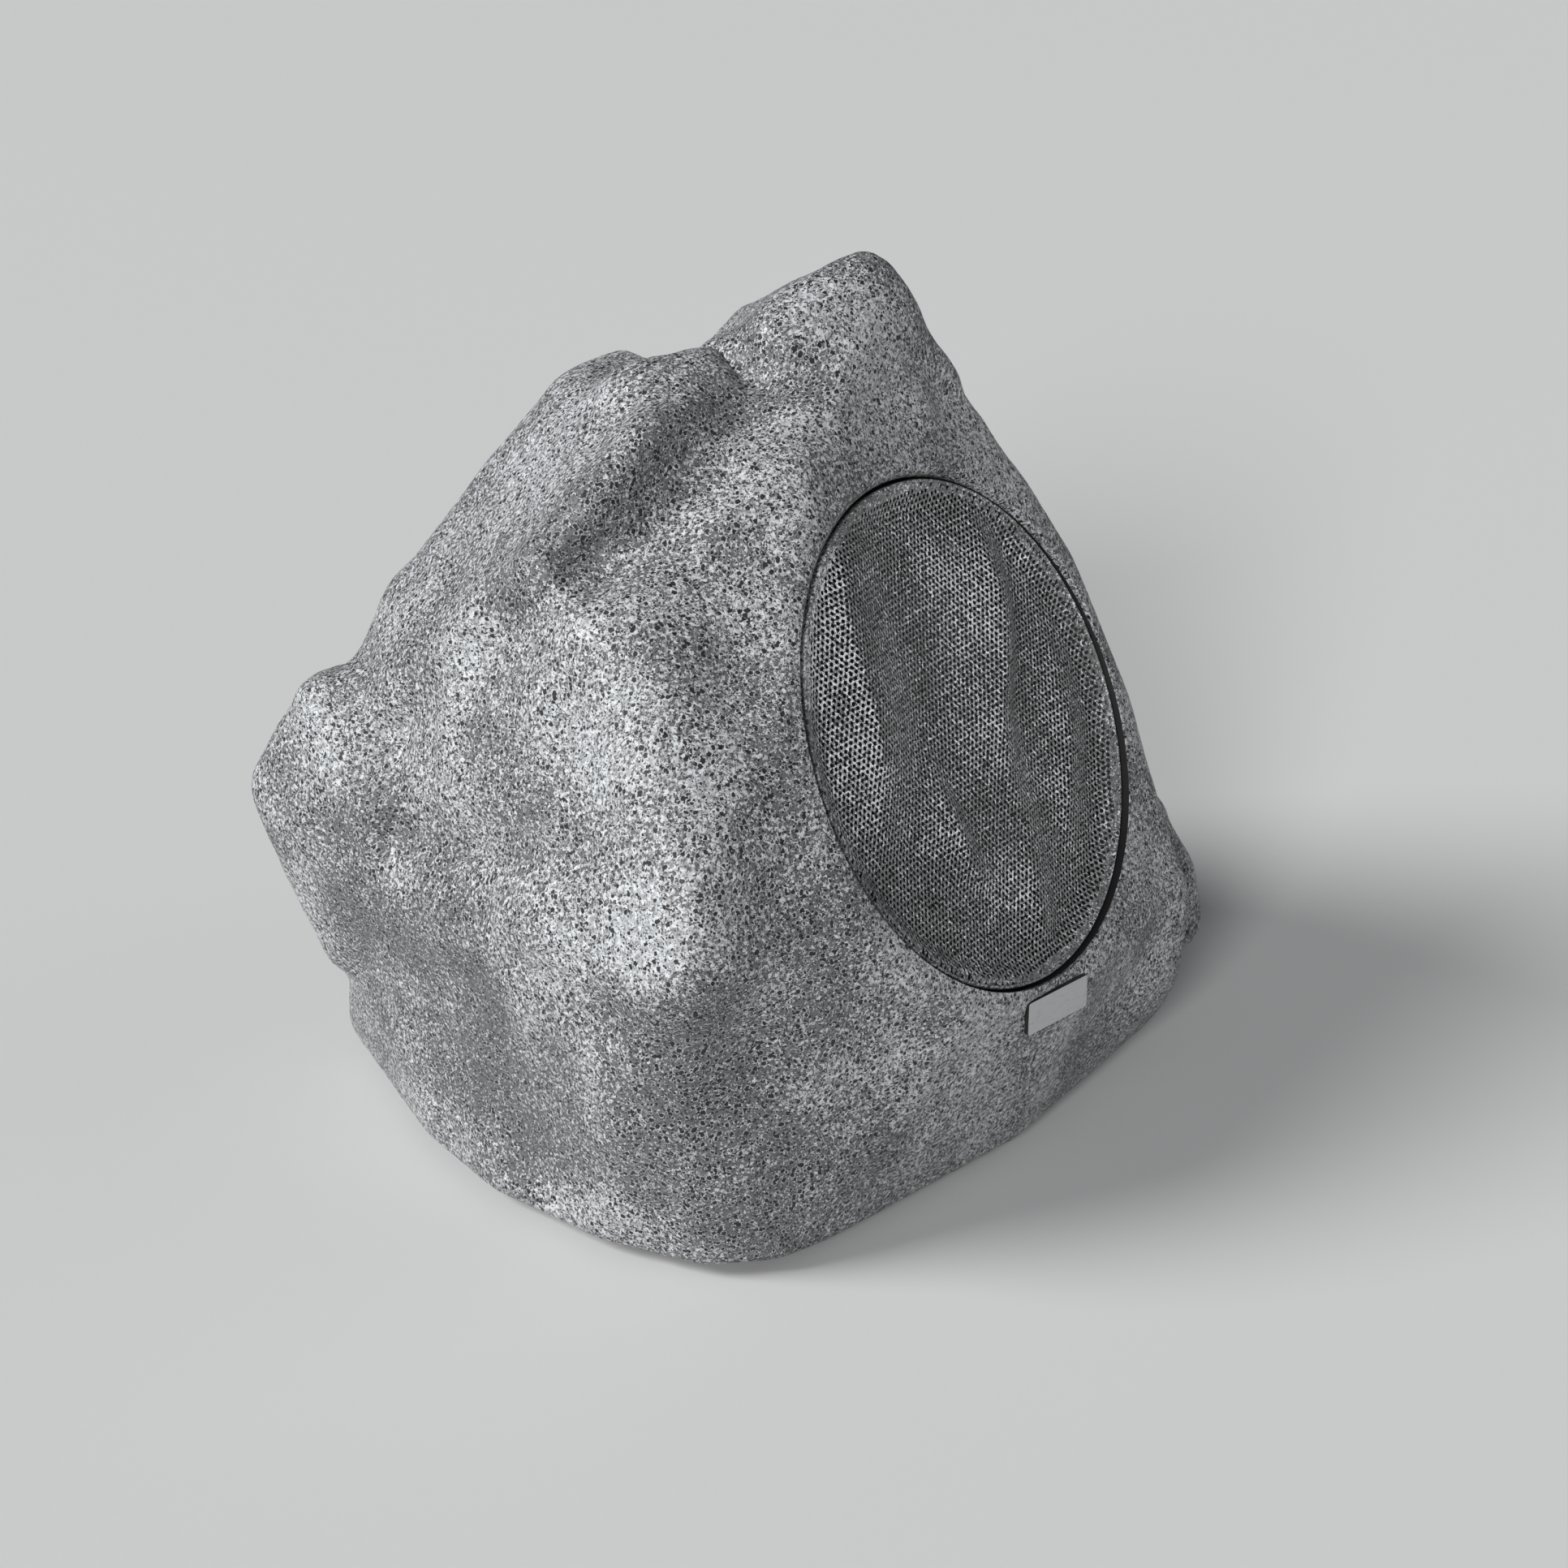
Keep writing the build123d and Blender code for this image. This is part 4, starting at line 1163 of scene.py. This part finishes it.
plate = bmesh.new()
add_box(plate, Matrix.Translation((0, 0, -PLATE_T / 2)), (PLATE_W, PLATE_H, PLATE_T))
upright = [e for e in plate.edges if abs(e.verts[0].co.z - e.verts[1].co.z) > PLATE_T / 2]
break_edges(plate, upright, PLATE_CORNER, segments=5)
face_rim = [e for e in plate.edges if all(v.co.z > ON_FACE for v in e.verts)]
break_edges(plate, face_rim, PLATE_BREAK, segments=2)
plate.normal_update()
for face in plate.faces:
    # Faces that do not look out take the second finish: near black sides, painted shade round the plate.
    face.material_index = 0 if face.normal.z > LOOKS_OUT else 1
bmesh.ops.transform(plate, matrix=plate_place, verts=plate.verts)
name_plate = as_object("bare_plate", plate)
name_plate.data.materials.append(plate_metal)
name_plate.data.materials.append(plate_side_shade)
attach(name_plate, "cabinet")
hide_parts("name_plate")
print("plate has", len(name_plate.data.polygons), "faces")

# %% [markdown]
# ## Screws and feet
#
# Pan head screws hold the bottom plate, the loudspeaker and the transformer's strap. Their heads are domed
# and have a cross slot. One screw of each length is turned and slotted, and copies of its mesh are set at
# every place. The feet are turned too: rubber pads with a rounded edge and a shallow hollow that helps them
# grip.

# %% Screws
HEAD_R, HEAD_T, SHANK_R = 0.0036, 0.0024, 0.002
HEAD_RIM, TIP_BREAK = 0.35, 0.0006
SLOT = (0.0038, 0.0008, 0.0028)
STRAP_X, STRAP_Y, STRAP_Z = 0.031, 0.040, 0.0165


def screw_mesh(length):
    """A pan head screw with a cross slot, along Z, its head resting on Z = 0."""
    net = bmesh.new()
    quarter = arc(18, 6)
    dome = [(HEAD_R * math.sin(a), HEAD_T * (HEAD_RIM + (1 - HEAD_RIM) * math.cos(a))) for a in quarter]
    shank = [(HEAD_R, 0), (SHANK_R, 0), (SHANK_R, TIP_BREAK - length)]
    tip = [(SHANK_R - TIP_BREAK, -length), (0, -length)]
    add_turned(net, Matrix.Identity(4), dome + shank + tip, segments=24)
    screw = as_object("screw", net)
    for turn in (0, 90):
        blade = bmesh.new()
        add_box(blade, Matrix.Rotation(math.radians(turn), 4, "Z") @ Matrix.Translation((0, 0, HEAD_T)), SLOT)
        take_away(screw, as_object("blade", blade))
    data = screw.data
    bpy.data.objects.remove(screw)
    return data


def set_screws(name, node, body, length, places):
    """Copies of one screw at several places, in one object that stands for a node."""
    one = screw_mesh(length)
    net = bmesh.new()
    for place in places:
        before = len(net.verts)
        net.from_mesh(one)
        net.verts.ensure_lookup_table()
        bmesh.ops.transform(net, matrix=place, verts=net.verts[before:])
    made = as_object(name, net)
    shade_soft(made, angle=35)
    made.data.materials.append(FINISHES["screw_steel"])
    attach(made, body)
    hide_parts(node)
    print(name, "holds", len(places), "screws")


def ring_of(count, radius, start, height):
    """Places on a circle round Z."""
    turns = [Matrix.Rotation(math.radians(start + 360 * k / count), 4, "Z") for k in range(count)]
    return [turn @ Matrix.Translation((radius, 0, height)) for turn in turns]


heads_down = Matrix.Rotation(math.radians(180), 4, "X")
bottom_places = [place @ heads_down for place in ring_of(6, radius=0.094, start=0, height=0.004)]
set_screws("bottom_screws", "base_screws", "cabinet", length=0.016, places=bottom_places)
speaker_places = [grille_place @ place for place in ring_of(4, radius=0.079, start=45, height=-0.020)]
set_screws("speaker_screws", "driver_screws", "cabinet", length=0.0105, places=speaker_places)
strap_places = [Matrix.Translation((side * STRAP_X, STRAP_Y, STRAP_Z)) for side in (-1, 1)]
set_screws("strap_screws", "transformer_screws", "cabinet", length=0.007, places=strap_places)

# %% Feet
FOOT_AT = 0.051
# Half section from the hollow underneath, round the edge, up to the top.
FOOT = [(0, 0.0007), (0.0058, 0.0007), (0.0064, 0.0002), (0.0070, 0), (0.0088, 0), (0.0095, 0.0003)]
FOOT += [(0.0098, 0.0010), (0.0110, 0.005), (0, 0.005)]

feet = bmesh.new()
for x in (-FOOT_AT, FOOT_AT):
    for y in (-FOOT_AT, FOOT_AT):
        single = bmesh.new()
        add_turned(single, Matrix.Translation((x, y, 0)), FOOT, segments=48)
        join_net(feet, single)
pads = as_object("foot_pads", feet)
shade_soft(pads, angle=40)
pads.data.materials.append(FINISHES["black_rubber"])
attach(pads, "cabinet")
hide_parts("rubber_feet")
print("feet have", len(pads.data.polygons), "faces")

# %% [markdown]
# ## The cable gland and the clamp block
#
# Moulded parts have no knife edges. A copy of the solid is merged, its flat facets are joined, and the
# sharp edges get a narrow two-step bevel. That is all a moulded nut or block needs to catch the light as
# the real one does.

# %% Broken edges
FLAT_ANGLE = math.radians(2)
SHARP_ANGLE = math.radians(30)


def broken_edges(node, name, slot_name, width):
    """A copy of a solid with its sharp edges broken, which stands for it."""
    net = bmesh.new()
    net.from_mesh(nodes[node].data)
    bmesh.ops.remove_doubles(net, verts=net.verts, dist=MERGE)
    bmesh.ops.dissolve_limit(net, angle_limit=FLAT_ANGLE, verts=net.verts, edges=net.edges)
    sharp = [e for e in net.edges if e.is_manifold and e.calc_face_angle() > SHARP_ANGLE]
    two_steps = {"segments": 2, "profile": 0.5, "material": -1, "clamp_overlap": True}
    bmesh.ops.bevel(net, geom=sharp, offset=width, affect="EDGES", **two_steps)
    made = as_object(name, net)
    shade_soft(made, angle=32)
    made.data.materials.clear()
    made.data.materials.append(FINISHES[slot_name])
    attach(made, "cabinet")
    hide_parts(node)
    print(name, "has", len(made.data.polygons), "faces")


broken_edges("gland_nut", "gland_cap", "black_plastic", width=0.0005)
broken_edges("gland_body", "gland_sleeve", "black_plastic", width=0.0004)
broken_edges("gland_locknut", "gland_back_nut", "black_plastic", width=0.0004)
broken_edges("terminal_block", "clamp_block", "white_plastic", width=0.0005)

# %% [markdown]
# ## Inside the loudspeaker
#
# Behind the grille a rubber half roll joins the cone to the basket, and lower down a stiff cloth disc
# pressed into waves keeps the coil in the middle. Both are sections spun round the loudspeaker's axis. The
# solids have them as plain rings, and the pieces here keep to the same edges.

# %% Half roll
ROLL_IN, ROLL_OUT, GLUE_OUT = 0.0603, 0.070, 0.075
FLANGE, CONE_EDGE, ROLL_H, ROLL_T = -0.020, -0.0192, 0.006, 0.0012
CROWN_T = 0.0004

half = (ROLL_OUT - ROLL_IN) / 2
middle = (ROLL_OUT + ROLL_IN) / 2
sweep = arc(15, 13)
outer = [(middle - half * math.cos(a), CONE_EDGE + ROLL_H * math.sin(a)) for a in sweep]
inner = [(middle + (half - ROLL_T) * math.cos(a), FLANGE + (ROLL_H - CROWN_T) * math.sin(a)) for a in sweep]
section = outer + [(GLUE_OUT, CONE_EDGE), (GLUE_OUT, FLANGE)] + inner


def spun_ring(name, section, node, slot_name):
    """A closed section spun round the loudspeaker's axis, standing for a node."""
    net = bmesh.new()
    add_ring(net, section)
    bmesh.ops.transform(net, matrix=grille_place, verts=net.verts)
    made = as_object(name, net)
    shade_soft(made, angle=50)
    made.data.materials.append(FINISHES[slot_name])
    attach(made, "cabinet")
    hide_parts(node)
    print(name, "has", len(made.data.polygons), "faces")


spun_ring("half_roll", section, "surround", "black_rubber")

# %% Waved cloth disc
DISC_IN, DISC_OUT, SHELF = 0.0135, 0.046, -0.058
WAVE_LENGTH, WAVE_RISE = 0.0065, 0.0009
CLOTH_T, CLOTH_GAP = 0.0006, 0.0001
DISC_STEPS = 52
# How far from the inner edge the waves grow, and between which distances from the outer edge they fade.
GROW, FADE_FROM, FADE_TO = 0.006, 0.009, 0.004

steps = [DISC_IN + (DISC_OUT - DISC_IN) * k / DISC_STEPS for k in range(DISC_STEPS + 1)]


def wave_height(radius):
    """Waves that fade out towards both edges of the disc."""
    from_inside = soft_step(radius, DISC_IN, DISC_IN + GROW)
    from_outside = 1 - soft_step(radius, DISC_OUT - FADE_FROM, DISC_OUT - FADE_TO)
    wave = 1 + math.sin(FULL_CIRCLE * radius / WAVE_LENGTH)
    return SHELF + CLOTH_GAP + WAVE_RISE * from_inside * from_outside * wave


upper = [(radius, wave_height(radius) + CLOTH_T) for radius in steps]
lower = [(radius, wave_height(radius)) for radius in reversed(steps)]
spun_ring("waved_disc", upper + lower, "spider", "spider_cloth")

# %% [markdown]
# ## Finishes on the solids that stay
#
# The pieces whose solids already have the right shape keep them, and only change their finish. The record
# names the finish of each node, so one loop dresses them all.

# %% Dress the other solids
finish_of = {part["node"]: part["material_slot"] for part in frame["record"]["subparts"]}
dressed = 0
for name, solid in nodes.items():
    if finish_of[name] in FINISHES:
        solid.data.materials.clear()
        solid.data.materials.append(FINISHES[finish_of[name]])
        dressed += 1
print("dressed", dressed, "solids")
